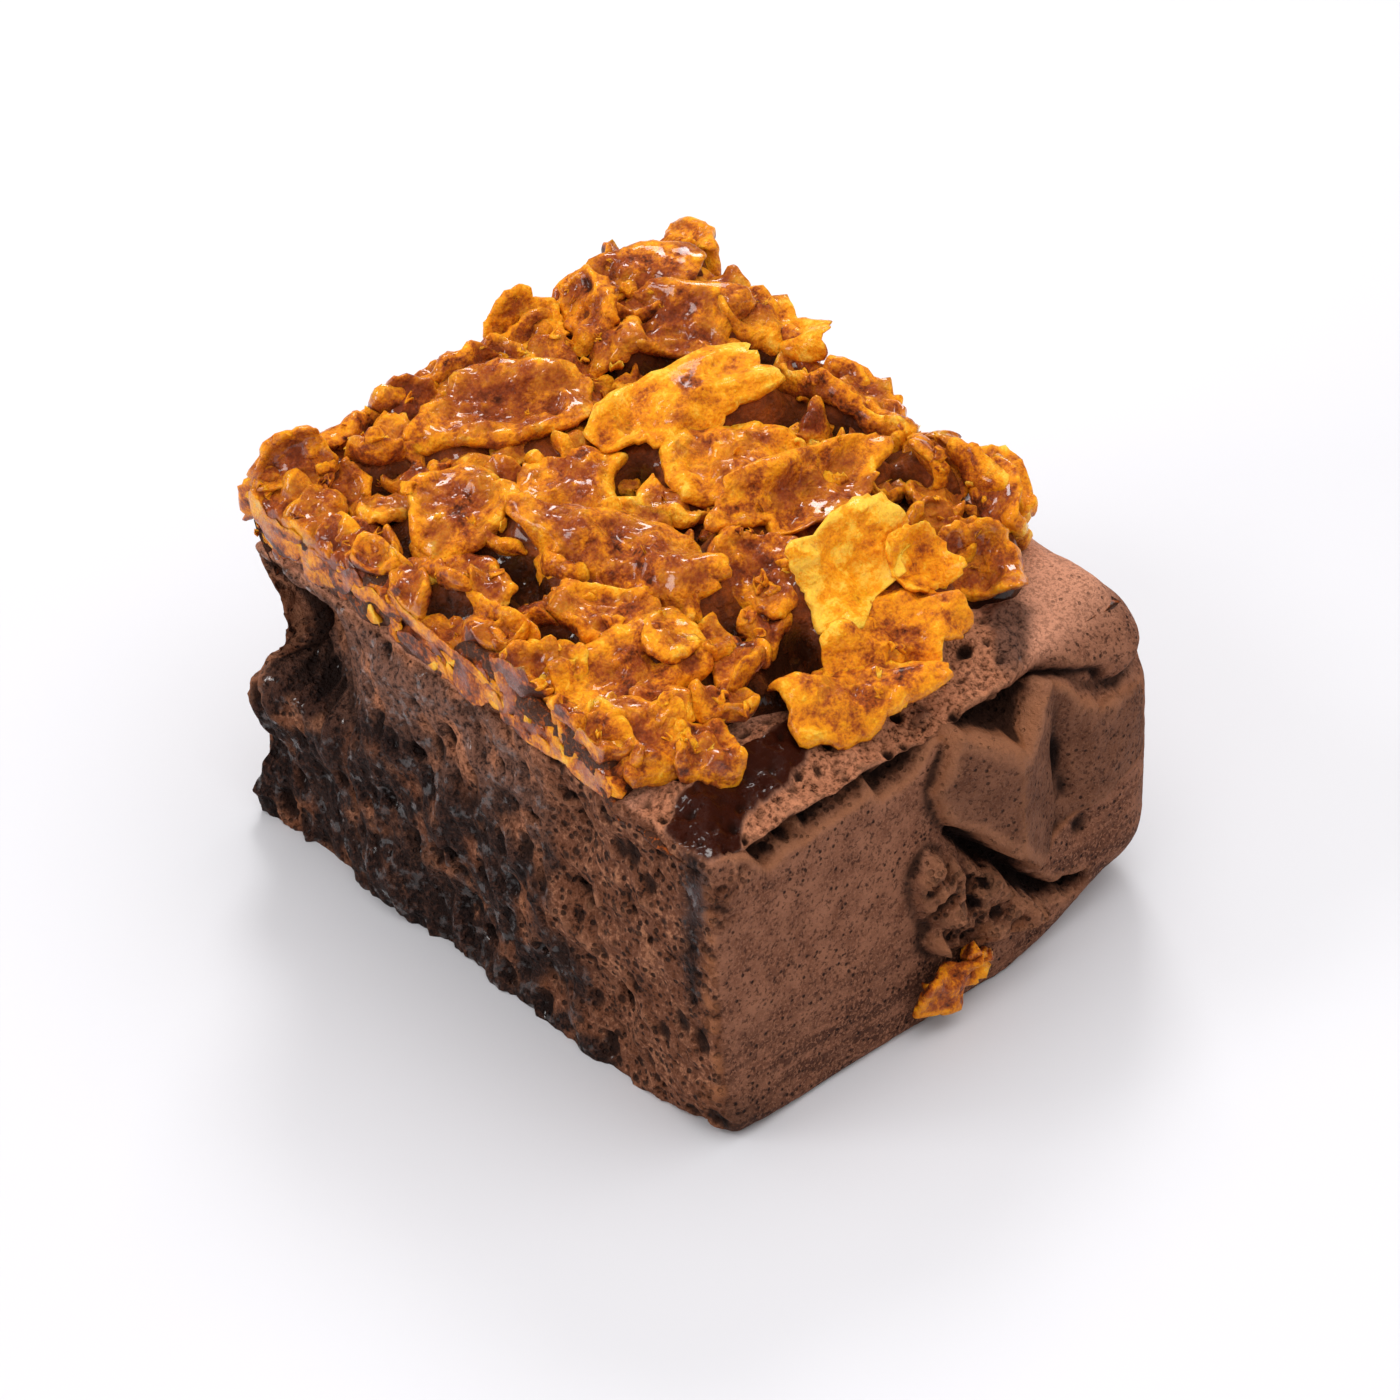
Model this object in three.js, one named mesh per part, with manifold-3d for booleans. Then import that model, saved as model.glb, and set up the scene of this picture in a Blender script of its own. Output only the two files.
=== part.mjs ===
// A corner piece of a tray-baked chocolate brownie with a heap of caramel cornflakes on top.
// Millimetres, +Z up, origin at the centre of the flat base. The near crust looks along -Y,
// the round crust corner is at +X, and the two cut faces look along -X and +Y. Until the group is
// placed, x is measured from a line inside the left cut face, and y from half the length.
import * as THREE from "three";
import { mergeVertices } from "three/addons/utils/BufferGeometryUtils.js";
import Module from "manifold-3d";

const wasm = await Module();
wasm.setup();

// Driving dimensions of the cake
const cake = {
  width: 61.3, // cut face to crust, along x
  length: 66, // crust to cut face at the rim, along y
  left: 29, // from the left cut face to the line that x is measured from
  rim: 33.5, // height of the rim
  crown: 1.5, // how much higher the top is inside the rim
  lean: 2.8, // how far the near crust stands out at its foot
  tuck: 1.2, // how far the far crust draws in at its foot
  trayCorner: 7, // plan radius of the round crust corner
  cutCorner: 1.2, // plan radius of the other three corners
  baseTrim: 0.4, // what the flat base takes off the rounded form
  cells: [28, 26, 15], // facets along x, y and z
};

// Driving dimensions of the topping
const heap = {
  gap: 0.3, // clear of the cake below
  cutFace: -29.6, // the flakes end here, where the piece was cut
  back: 33.6,
  low: 37.3, // height of the core at the near edge
  rise: 3.7, // how much higher the core is behind
  peak: 3.6, // extra height at the far corner
  coreCells: [12, 14, 2],
  flakeSides: 10,
  flakeBands: 4,
  plate: 1.5, // thickness of a flake
};

const half = new THREE.Vector3(cake.width / 2, cake.length / 2, cake.rim / 2);
const middle = half.x - cake.left;
const crownHeight = cake.rim + cake.crown;

// Top edge of the skin on the near crust, as x and height. Above it the top crust has cracked away.
const lip = [
  [-29, 34.2], [-23.3, 31.6], [-22, 29.5], [-13, 30.1], [-8.6, 30.6], [-6.7, 29], [-4, 28.8], [0, 31.2],
  [2, 32], [5.7, 30.4], [10, 27.4], [15.3, 31.4], [18.6, 27.7], [21.4, 25.2], [25, 24.4], [32, 24.4],
];
// Deep crack under the lifted flap of skin
const flapCrack = [[2, 20.8], [4.6, 17.2], [8.2, 13.6], [10.2, 10.4], [13.6, 7.2], [19, 5.1]];
// Outline of the flap, and of the torn crumb left of the crack
const flap = [
  [1.7, 32.2], [-0.9, 26.3], [0.9, 22.2], [3.5, 20.6], [5.6, 18.2], [8.6, 14.4], [12, 11.4], [18.4, 13.2],
  [23, 14.1], [29, 16], [29, 24.3], [21.4, 25.2], [16.3, 30.4], [12.9, 29.5], [10, 27.4], [5.7, 30.4],
];
const tornCrumb = [
  [-2.1, 20.5], [-4.1, 18], [-3.8, 14.2], [-2.5, 12.3], [-3.5, 10.3], [-1.5, 8], [4, 5.6], [13.5, 6.1],
  [8.8, 10.8], [5.2, 15.7], [3.2, 16.4], [-0.1, 19.1],
];
// Lumps and hollows of the left cut face: y, height, radius, how far they stand out
const cutForms = [
  [31, 16, 3, 1.6], [33, 2.5, 3, 1], [31, 8.6, 2.6, -1.6], [15.5, 16.7, 4, 1], [12.5, 4.5, 3, 1.4],
  [4, 24, 5, -1.1], [-6, 14, 6, 0.7], [-15, 19, 2.6, -1.4], [-20, 9.2, 2.2, -1.2], [-14.6, 27, 2.6, -1.1],
  [22, 8, 4, -1.2], [2, 8, 5, -0.8],
];
// The far left edge is torn in between these heights
const waist = { from: 17.5, full: 21, to: 28, end: 33.5, depth: 6, backDepth: 3.5 };

// Where each flake lies, tip to tip, then its width, the roll about its length in degrees and how
// much its sides curl up
const flakes = [
  [-29.3, 31.2, 42, -20.4, 28.4, 43.5, 6, 35, 1.8], [-26.4, 28.7, 40, -20.2, 24.1, 40, 6, 20, 1.5],
  [-19.4, 29.1, 42, -14.5, 23.5, 42, 7, -20, 2], [-29.4, 32.5, 39, -26, 24, 40, 8, 15, -1],
  [-27.4, 24, 39.5, -27.6, 12.5, 38, 8, 20, -1.4], [-23.2, 17.4, 41.5, -12.5, 10, 43, 10, 10, -1],
  [-19.7, 21.2, 40, -12.5, 22.6, 42, 7, 0, 1], [-13, 27, 43.5, 2.4, 16.3, 44, 9, 10, 1],
  [-14.5, 31.5, 42, -7, 28, 43, 6, 25, 1], [-11, 15, 42, -3.6, 4, 42, 11, 5, -1],
  [0.5, 32.3, 42, 11, 31.5, 44, 6, 30, 1], [13.4, 32, 46.2, 9.5, 23.5, 42.4, 8, 35, -1],
  [15.4, 32.6, 46.4, 22.8, 23, 45.8, 8, 35, -1.5], [23, 32, 45.6, 27.5, 25, 45.4, 7, 15, -1],
  [12.5, 27, 44.5, 21.5, 14, 43.5, 8.5, 25, 1.4], [23.4, 22.5, 43.5, 22.4, 11.5, 42, 7, -15, 1],
  [27, 14, 44, 24.3, 9.5, 38.5, 8, 70, -1], [-3, 11.5, 44, 18, 8.4, 46, 9, 15, -1],
  [19.6, 11, 43, 23.2, -6.6, 41, 6, -30, 1.5], [-0.5, 5.6, 42.3, 14.4, -3.7, 42.2, 12, 7, -1.2],
  [-5, -5, 43.2, 20.3, -8, 42.6, 7, 25, 1], [24.3, -9, 42, 26, -22, 38.8, 6, -35, 1.6],
  [22.2, -6.5, 42, 18.3, -12.6, 41, 5, 55, 0.6], [25, -7, 41, 22, -13, 41, 5, 60, 0.6],
  [12.5, -16.3, 41, 18.6, -17.4, 41, 5, 40, 0.6], [16.4, -16, 39, 16.1, -22, 38, 6, 15, -1],
  [11.5, -19.4, 38, 20.2, -25.2, 39.5, 8, 25, 2.4], [-4.6, -18.6, 39.5, 11, -18, 46, 9, 30, 0.8],
  [5.5, -21.4, 41, 12.2, -21.2, 43, 7, 25, 0.6], [-6, -20, 38.6, 11, -28, 39, 10, 25, -0.8],
  [-12.5, -22, 37.2, 2, -31.3, 36.9, 8, 12, -0.6], [-4.4, -6.6, 41, -1, -17, 40, 9, 10, 1],
  [-17, 9, 43.5, -6.4, -14.4, 41.5, 9, 15, -1.2], [-21, -2, 41, -14, -11, 40, 6, 5, 0.8],
  [-26, -5, 39.5, -22, -9.8, 39.5, 5, 0, -1.4], [-27, 10.5, 40, -26.8, -7, 38.5, 8, 25, 1.6],
  [-27.6, -10.6, 39, -11.6, -14.8, 41, 10, 20, -1], [-29, -17.4, 37.6, -19.4, -21.5, 38, 8, 20, -1],
  [-24.2, -22.2, 37, -16.7, -25.3, 36.8, 6, 15, -0.6], [-19, -19, 38, -12.8, -21.8, 37, 5, 0, -0.8],
  [-27.4, -4, 37, -28.4, -17, 36.6, 6, 60, 0.8], [-6.4, -13.2, 38, -4.4, -18.4, 38, 5, 0, -1],
];
// The flakes between those follow a rule: one to each open spot of a loose grid
const filler = { step: 8.2, clear: 5.2, shortest: 8, longest: 13, sink: 0.4, seed: 41 };
const rimFlakes = { step: 7.5, height: 38.6, length: 10, width: 7, seed: 83 };

// A flake of the topping that has stuck to the foot of the near crust
const stuck = {
  from: [-6, -37.2, 4.8],
  to: [5, -37.2, 4.3],
  width: 4.6,
  plate: 1.2,
  roll: 78,
  curl: 0.5,
  seed: 7,
};

// A repeatable number from 0 to 1 for whole numbers i, j and k
function cell(i, j, k, seed) {
  let mix = Math.imul(i, 73856093) ^ Math.imul(j, 19349663);
  mix ^= Math.imul(k, 83492791) ^ Math.imul(seed, 2654435761);
  mix = Math.imul(mix ^ (mix >>> 13), 1274126177);
  return ((mix ^ (mix >>> 16)) >>> 0) / 4294967296;
}

// 0 below from, 1 above to, smooth between
function blend(from, to, value) {
  const t = Math.min(1, Math.max(0, (value - from) / (to - from)));
  return t * t * (3 - 2 * t);
}

// Smooth lumps between -1 and 1, about size apart
function lumps(x, y, z, size, seed) {
  const place = [x / size, y / size, z / size];
  const low = place.map(Math.floor);
  const part = place.map((v, i) => blend(0, 1, v - low[i]));
  let sum = 0;
  for (let n = 0; n < 8; n++) {
    const step = [n & 1, (n >> 1) & 1, n >> 2];
    const weight = step.reduce((w, s, i) => w * (s ? part[i] : 1 - part[i]), 1);
    sum += weight * cell(low[0] + step[0], low[1] + step[1], low[2] + step[2], seed);
  }
  return 2 * sum - 1;
}

// Height of a line of points at x
function lineAt(points, x) {
  let n = 1;
  while (n < points.length - 1 && points[n][0] < x) n++;
  const [x0, z0] = points[n - 1];
  const [x1, z1] = points[n];
  return z0 + (z1 - z0) * Math.min(1, Math.max(0, (x - x0) / (x1 - x0)));
}

// Distance from a point to a chain of points
function distanceTo(points, x, z, closed) {
  let best = Infinity;
  const last = closed ? points.length : points.length - 1;
  for (let n = 0; n < last; n++) {
    const [ax, az] = points[n];
    const [bx, bz] = points[(n + 1) % points.length];
    const run = [bx - ax, bz - az];
    const t = ((x - ax) * run[0] + (z - az) * run[1]) / (run[0] ** 2 + run[1] ** 2);
    const u = Math.min(1, Math.max(0, t));
    best = Math.min(best, Math.hypot(x - ax - u * run[0], z - az - u * run[1]));
  }
  return best;
}

// Distance inside a closed outline, negative outside
function depthInside(points, x, z) {
  let inside = false;
  points.forEach(([ax, az], n) => {
    const [bx, bz] = points[(n + 1) % points.length];
    if (az > z !== bz > z && x < ax + ((z - az) / (bz - az)) * (bx - ax)) inside = !inside;
  });
  return (inside ? 1 : -1) * distanceTo(points, x, z, true);
}

// How far the near crust stands out at x and z: its skin, the flap, the crack and the torn crumb
function crustForm(x, z) {
  const above = z - lineAt(lip, x);
  const ridge = 8.3;
  const valley = 16.2;
  const leftFacet = 1 + 1.7 * blend(-1, ridge, x);
  const rightFacet = 2.7 - 3.2 * blend(ridge, valley, x) + 1.1 * blend(valley, valley + 4, x);
  const lifted = (x < ridge ? leftFacet : rightFacet) * (1 - blend(21, 28, x));
  const onFlap = blend(-0.3, 0.6, depthInside(flap, x, z));
  const onTorn = blend(-0.3, 1, depthInside(tornCrumb, x, z));
  const setBack = 2 * blend(0, 1.2, above) * (1 - blend(12, 18, x));
  const gape = (1 + 1.2 * blend(0, 8, x)) * Math.exp(-(((above - 1.4) / 1.1) ** 2));
  const crack = 2.4 * Math.exp(-((distanceTo(flapCrack, x, z, false) / 1.2) ** 2));
  const torn = onTorn * (1.4 + 0.6 * lumps(x, 3, z, 2.2, 5));
  return 0.35 * lumps(x, 0, z, 9, 11) + lifted * onFlap + torn - setBack - gape - crack;
}

// How deep the far left edge is torn in at a height
function waistAt(z) {
  return blend(waist.from, waist.full, z) * (1 - blend(waist.to, waist.end, z));
}

// How far the left cut face stands out at y and z
function cutForm(y, z) {
  const forms = cutForms.reduce((sum, [fy, fz, radius, out]) => {
    return sum + out * Math.exp(-((y - fy) ** 2 + (z - fz) ** 2) / radius ** 2);
  }, 0);
  const torn = waist.depth * blend(12, 30, y) * waistAt(z);
  const crumb = 0.7 * lumps(1, y, z, 5, 21) + 0.35 * lumps(2, y, z, 2.4, 22);
  return forms - torn + crumb * blend(-33, -24, y);
}

// How far the cut face at the back stands out at x and z
function backForm(x, z) {
  const torn = waist.backDepth * blend(-16, -28, x) * waistAt(z);
  return 1.1 * lumps(x, 9, z, 6, 51) + 0.5 * lumps(x, 9, z, 2.6, 52) - 0.5 - torn;
}

// How far the top crust outside the heap stands above its crown
function topForm(x, y) {
  const open = Math.max(1 - blend(-28, -25, y), blend(24, 27, x));
  return open * (-0.6 + 0.6 * lumps(x, y, 5, 4, 31));
}

// Moves a point of the plain box, which has its middle at x 0, on to the cake
function cakePoint(p) {
  const round = blend(5, 26, p.x) * (1 - blend(24, 32, p.y));
  const top = 1 + 7 * round;
  const foot = 1 + 0.6 * blend(-26, -32, p.y) + 7 * round;
  const inset = Math.min(half.x - Math.abs(p.x), half.y - Math.abs(p.y));
  const upper = p.z > half.z;
  const radius = upper ? top : foot;
  const depth = upper ? cake.rim - p.z : p.z + cake.baseTrim;
  let out = depth > 1e-6 ? 1 : 0;
  let newInset = inset;
  let newDepth = depth;
  if (inset < radius && depth < radius) {
    const a = radius - inset;
    const b = radius - depth;
    const scale = Math.max(a, b) / Math.hypot(a, b);
    newInset = radius - a * scale;
    newDepth = radius - b * scale;
    out = (a * scale) / radius;
  }
  let { x, y } = p;
  if (newInset !== inset) {
    x *= (half.x - newInset) / (half.x - inset);
    y *= (half.y - newInset) / (half.y - inset);
  }
  const corner = x > 0 && y < 0 ? cake.trayCorner : cake.cutCorner;
  const dx = Math.abs(x) - (half.x - corner);
  const dy = Math.abs(y) - (half.y - corner);
  const facing = new THREE.Vector2();
  if (dx > 0 && dy > 0) {
    const scale = Math.max(dx, dy) / Math.hypot(dx, dy);
    x = Math.sign(x) * (half.x - corner + dx * scale);
    y = Math.sign(y) * (half.y - corner + dy * scale);
    facing.set(Math.sign(x) * dx, Math.sign(y) * dy).normalize();
  } else if (half.x - Math.abs(x) < half.y - Math.abs(y)) facing.set(Math.sign(x), 0);
  else facing.set(0, Math.sign(y));
  const z = upper ? cake.rim - newDepth : newDepth - cake.baseTrim;
  const up = Math.sqrt(1 - out * out) * (upper ? 1 : -1);
  const normal = new THREE.Vector3(facing.x * out, facing.y * out, up);
  const low = 1 - z / cake.rim;
  const point = new THREE.Vector3(x, y, z);
  point.y -= cake.lean * low * Math.max(0, -y / half.y) ** 2;
  point.x += middle - cake.tuck * low * Math.max(0, x / half.x) ** 2;
  x += middle;
  if (upper) point.z += (cake.crown * blend(0.5, 6, newInset) + topForm(x, y)) * blend(0.6, 1, up);
  const onNear = blend(0.35, 0.85, -normal.y);
  const onLeft = blend(0.35, 0.85, -normal.x);
  const onFar = blend(0.35, 0.85, normal.y);
  const onRight = blend(0.35, 0.85, normal.x) * (1 - onNear);
  const shift =
    onNear * crustForm(x, z) +
    onLeft * cutForm(y, z) +
    onFar * backForm(x, z) +
    onRight * 0.5 * lumps(4, y, z, 9, 61);
  return point.addScaledVector(normal, shift);
}

// A box of many facets, closer together at its edges, with each vertex moved by a function
function formedBox(cells, low, high, move) {
  const box = new THREE.BoxGeometry(2, 2, 2, ...cells);
  const bunch = (t) => 0.6 * t + 0.4 * Math.sin((t * Math.PI) / 2);
  const place = box.getAttribute("position");
  const p = new THREE.Vector3();
  for (let n = 0; n < place.count; n++) {
    p.fromBufferAttribute(place, n);
    const t = new THREE.Vector3(bunch(p.x), bunch(p.y), bunch(p.z)).addScalar(1).multiplyScalar(0.5);
    p.copy(high).sub(low).multiply(t).add(low);
    place.setXYZ(n, ...move(p));
  }
  return box;
}

// A closed geometry as a solid, and back
function solidFrom(geometry) {
  const bare = new THREE.BufferGeometry();
  bare.setAttribute("position", geometry.getAttribute("position"));
  bare.setIndex(geometry.index);
  const merged = mergeVertices(bare, 1e-4);
  const kept = [];
  const index = merged.index.array;
  for (let n = 0; n < index.length; n += 3) {
    const [a, b, c] = index.slice(n, n + 3);
    if (a !== b && b !== c && c !== a) kept.push(a, b, c);
  }
  const vertProperties = merged.getAttribute("position").array;
  return new wasm.Manifold(new wasm.Mesh({ numProp: 3, vertProperties, triVerts: new Uint32Array(kept) }));
}

function geometryFrom(solid) {
  const mesh = solid.getMesh();
  const geometry = new THREE.BufferGeometry();
  geometry.setAttribute("position", new THREE.BufferAttribute(mesh.vertProperties, 3));
  geometry.setIndex(new THREE.BufferAttribute(mesh.triVerts, 1));
  geometry.computeVertexNormals();
  return geometry;
}

function slab(low, high) {
  const size = high.clone().sub(low);
  const box = new THREE.BoxGeometry(size.x, size.y, size.z);
  box.translate(...low.clone().add(high).multiplyScalar(0.5));
  return solidFrom(box);
}

function makeCake() {
  const low = new THREE.Vector3(-half.x, -half.y, -cake.baseTrim);
  const high = new THREE.Vector3(half.x, half.y, cake.rim);
  const body = solidFrom(formedBox(cake.cells, low, high, cakePoint));
  const under = slab(new THREE.Vector3(-50, -50, -10), new THREE.Vector3(50, 50, 0));
  return body.subtract(under);
}

// A flake: a flattened ball with an uneven outline, curled and bent, from one tip to the other
function flakeGeometry({ from, to, width, roll, curl, plate, seed }) {
  const start = new THREE.Vector3(...from);
  const run = new THREE.Vector3(...to).sub(start);
  const length = run.length();
  const centre = start.addScaledVector(run, 0.5);
  const along = run.normalize();
  const turn = THREE.MathUtils.degToRad(roll);
  const side = new THREE.Vector3(-along.y, along.x, 0).normalize().applyAxisAngle(along, turn);
  const up = new THREE.Vector3().crossVectors(along, side);
  const ball = new THREE.SphereGeometry(1, heap.flakeSides, heap.flakeBands);
  const place = ball.getAttribute("position");
  const p = new THREE.Vector3();
  const bend = 1.2 * (cell(seed, 9, 1, 3) - 0.5);
  for (let n = 0; n < place.count; n++) {
    p.fromBufferAttribute(place, n);
    const angle = Math.atan2(p.z, p.x);
    let reach = 1;
    for (let k = 2; k < 6; k++) {
      reach += (0.18 / k) * Math.cos(k * angle + 2 * Math.PI * cell(seed, k, 1, 3));
    }
    const a = p.x * reach;
    const b = p.z * reach;
    const thick = (plate / 2) * Math.sign(p.y) * Math.abs(p.y) ** 0.4;
    const lift = curl * (b * b - 0.35) + bend * (a * a - 0.35) + 0.7 * lumps(a, b, seed, 0.7, 4);
    const spot = centre.clone().addScaledVector(along, (a * length) / 2);
    spot.addScaledVector(side, (-b * width) / 2).addScaledVector(up, lift + thick);
    place.setXYZ(n, ...spot);
  }
  return ball;
}

// Edges of the heap in plan
const nearEdge = (x) => -20.8 - 5 * blend(-16, -4, x) + 2.5 * blend(18, 26, x);
const rightEdge = (y) => 23.5 + 2.6 * blend(-10, 28, y);

function coreTop(x, y) {
  const behind = heap.rise * blend(-30, 2, y);
  const corner = heap.peak * Math.exp(-((x - 19) ** 2 + (y - 26) ** 2) / 170);
  const right = 0.8 * blend(16, 26, x) * (1 - blend(5, 20, y));
  return heap.low + behind + corner - right + 0.8 * lumps(x, y, 2, 5, 71);
}

function makeCore() {
  const move = (p) => {
    const x = THREE.MathUtils.lerp(heap.cutFace + 1.2, rightEdge(p.y * 33), (p.x + 1) / 2);
    const y = THREE.MathUtils.lerp(nearEdge(x), heap.back - 1.2, (p.y + 1) / 2);
    const rim = Math.max(Math.abs(p.x), Math.abs(p.y));
    const edge = 1 - blend(0.9, 1, rim);
    const top = coreTop(x, y) - 1.2 * (1 - edge);
    const low = crownHeight - 1;
    return new THREE.Vector3(x, y, THREE.MathUtils.lerp(low, top, (p.z + 1) / 2));
  };
  const low = new THREE.Vector3(-1, -1, -1);
  return solidFrom(formedBox(heap.coreCells, low, low.clone().negate(), move));
}

// Flakes for the open spots, and a row that stands out along the back and the right
function ruledFlakes() {
  const made = [];
  const middles = flakes.map((f) => [(f[0] + f[3]) / 2, (f[1] + f[4]) / 2]);
  let seed = filler.seed;
  for (let y = -24; y < 33; y += filler.step) {
    for (let x = -25; x < 26; x += filler.step) {
      seed += 1;
      const mx = x + 3 * (cell(seed, 1, 1, 3) - 0.5);
      const my = y + 3 * (cell(seed, 1, 2, 3) - 0.5);
      const open = middles.every(([fx, fy]) => Math.hypot(fx - mx, fy - my) > filler.clear);
      if (!open || mx > rightEdge(my) || my < nearEdge(mx) + 2) continue;
      const heading = Math.PI * cell(seed, 1, 3, 3);
      const reach = THREE.MathUtils.lerp(filler.shortest, filler.longest, cell(seed, 1, 4, 3)) / 2;
      const tip = [Math.cos(heading) * reach, Math.sin(heading) * reach];
      const z = coreTop(mx, my) + 1.2 - filler.sink;
      const pitch = 2 * (cell(seed, 1, 5, 3) - 0.5);
      made.push({
        from: [mx - tip[0], my - tip[1], z - pitch],
        to: [mx + tip[0], my + tip[1], z + pitch],
        width: reach * (1.2 + 0.5 * cell(seed, 1, 6, 3)),
        roll: 60 * (cell(seed, 1, 7, 3) - 0.5),
        curl: 3 * (cell(seed, 1, 8, 3) - 0.5),
        seed,
      });
    }
  }
  const rim = (x, y, alongX) => {
    seed += 1;
    const z = rimFlakes.height + 3 * (cell(seed, 2, 1, 3) - 0.5) + 1.5 * blend(-10, 25, y);
    const reach = (rimFlakes.length / 2) * (0.8 + 0.4 * cell(seed, 2, 2, 3));
    const drop = 2 * (cell(seed, 2, 3, 3) - 0.5);
    const tip = alongX ? [reach, 0] : [0, reach];
    made.push({
      from: [x - tip[0], y - tip[1], z - drop],
      to: [x + tip[0], y + tip[1], z + drop],
      width: rimFlakes.width,
      roll: (alongX ? -1 : 1) * (50 + 25 * cell(seed, 2, 4, 3)),
      curl: 1.5 * (cell(seed, 2, 5, 3) - 0.3),
      seed,
    });
  };
  for (let x = -25; x < 26; x += rimFlakes.step) rim(x, heap.back - 1.8, true);
  for (let y = -18; y < 30; y += rimFlakes.step) rim(rightEdge(y) - 0.4, y, false);
  return made;
}

function makeTopping() {
  const placed = flakes.map(([ax, ay, az, bx, by, bz, width, roll, curl], seed) => {
    return { from: [ax, ay, az], to: [bx, by, bz], width, roll, curl, seed: seed + 1 };
  });
  const all = placed.concat(ruledFlakes());
  let body = makeCore();
  for (const flake of all) body = body.add(solidFrom(flakeGeometry({ ...flake, plate: heap.plate })));
  const low = new THREE.Vector3(heap.cutFace, -40, crownHeight + heap.gap);
  const whole = body.intersect(slab(low, new THREE.Vector3(40, heap.back, 60)));
  const parts = whole.decompose();
  return parts.reduce((a, b) => (b.volume() > a.volume() ? b : a));
}

function piece(name, solid, color, roughness) {
  const material = new THREE.MeshStandardMaterial({ color, roughness, metalness: 0, flatShading: true });
  const mesh = new THREE.Mesh(geometryFrom(solid), material);
  mesh.name = name;
  return mesh;
}

// The stuck flake follows the crust behind it, clear of it by the gap
function makeStuckFlake(body) {
  const crust = geometryFrom(body).translate(0, -heap.gap, 0);
  return solidFrom(flakeGeometry(stuck)).subtract(solidFrom(crust));
}

const group = new THREE.Group();
const body = makeCake();
group.add(piece("brownie", body, 0x5a3a2c, 0.8));
group.add(piece("cornflake_topping", makeTopping(), 0xc07220, 0.35));
group.add(piece("stuck_flake", makeStuckFlake(body), 0xb8792e, 0.5));

// The middle of the base to the origin
group.position.set(-middle, cake.lean / 2, 0);

export default group;
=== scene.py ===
# Corner piece of a chocolate brownie with a heap of caramel cornflakes on top.
# Shapes are worked out in millimetres and handed to Blender in metres.
import math
import bpy
import numpy as np
from mathutils import Matrix, Vector


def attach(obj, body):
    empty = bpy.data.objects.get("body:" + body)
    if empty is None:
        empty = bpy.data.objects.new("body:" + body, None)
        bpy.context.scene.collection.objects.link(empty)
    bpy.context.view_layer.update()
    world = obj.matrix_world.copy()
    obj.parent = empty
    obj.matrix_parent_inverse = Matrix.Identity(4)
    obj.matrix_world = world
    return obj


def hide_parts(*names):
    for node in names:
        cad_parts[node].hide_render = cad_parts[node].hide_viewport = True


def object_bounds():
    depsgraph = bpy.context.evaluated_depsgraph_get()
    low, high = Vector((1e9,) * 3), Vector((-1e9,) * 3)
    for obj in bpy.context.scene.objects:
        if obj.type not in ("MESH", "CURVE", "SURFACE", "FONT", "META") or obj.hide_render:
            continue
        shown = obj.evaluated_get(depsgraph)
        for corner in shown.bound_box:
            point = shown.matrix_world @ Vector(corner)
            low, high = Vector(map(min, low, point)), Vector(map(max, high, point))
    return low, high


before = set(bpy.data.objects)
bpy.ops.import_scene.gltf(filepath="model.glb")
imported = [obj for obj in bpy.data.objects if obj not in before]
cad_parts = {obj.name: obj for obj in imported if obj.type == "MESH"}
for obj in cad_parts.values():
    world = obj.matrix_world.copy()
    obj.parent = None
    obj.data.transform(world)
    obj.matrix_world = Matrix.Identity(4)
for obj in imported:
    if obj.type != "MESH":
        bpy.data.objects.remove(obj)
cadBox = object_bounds()
mm = 0.001
cadLow, cadHigh = (np.array(corner) / mm for corner in cadBox)
print("frame loaded")

# The same sizes as the solids have
cake = {
    "width": 61.3, "length": 66.0, "left": 29.0, "rim": 33.5, "crown": 1.5, "lean": 2.8, "tuck": 1.2,
    "trayCorner": 7.0, "cutCorner": 1.2, "footRound": 1.8, "baseTrim": 0.4,
    "cells": (184, 184, 104),  # fine facets along x, y and z
    "coarse": 4,  # fine facets to one coarse facet, under the topping and the base
}
half = np.array([cake["width"], cake["length"], cake["rim"]]) / 2
middle = half[0] - cake["left"]
placed = np.array([-middle, cake["lean"] / 2, 0.0])  # what moves the measured frame to the base's middle


# Repeatable draws and smooth noise on arrays

def cell(i, j, k, seed):  # 0 to 1 for whole numbers
    i, j, k = (np.asarray(v, np.int64).astype(np.uint32) for v in (i, j, k))
    with np.errstate(over="ignore"):
        mix = i * np.uint32(73856093) ^ j * np.uint32(19349663)
        mix = mix ^ k * np.uint32(83492791) ^ np.uint32(seed * 2654435761 % 2**32)
        mix = (mix ^ mix >> np.uint32(13)) * np.uint32(1274126177)
    return (mix ^ mix >> np.uint32(16)) / 4294967296.0


def blend(low, high, value):  # 0 below low, 1 above high
    t = np.clip((value - low) / (high - low), 0, 1)
    return t * t * (3 - 2 * t)


def lumps(x, y, z, size, seed):  # -1 to 1, about size apart
    place = [np.asarray(v, float) / size for v in np.broadcast_arrays(x, y, z)]
    low = [np.floor(v) for v in place]
    part = [blend(0, 1, v - l) for v, l in zip(place, low)]
    total = 0.0
    for n in range(8):
        step = (n & 1, n >> 1 & 1, n >> 2)
        weight = 1.0
        for s, f in zip(step, part):
            weight = weight * (f if s else 1 - f)
        total = total + weight * cell(*(l + s for l, s in zip(low, step)), seed)
    return 2 * total - 1


def grain(x, y, z, size, seed, octaves=3):  # several sizes of lumps together
    return sum(lumps(x, y, z, size / 2**n, seed + n) / 1.8**n for n in range(octaves)) / 1.6


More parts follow.
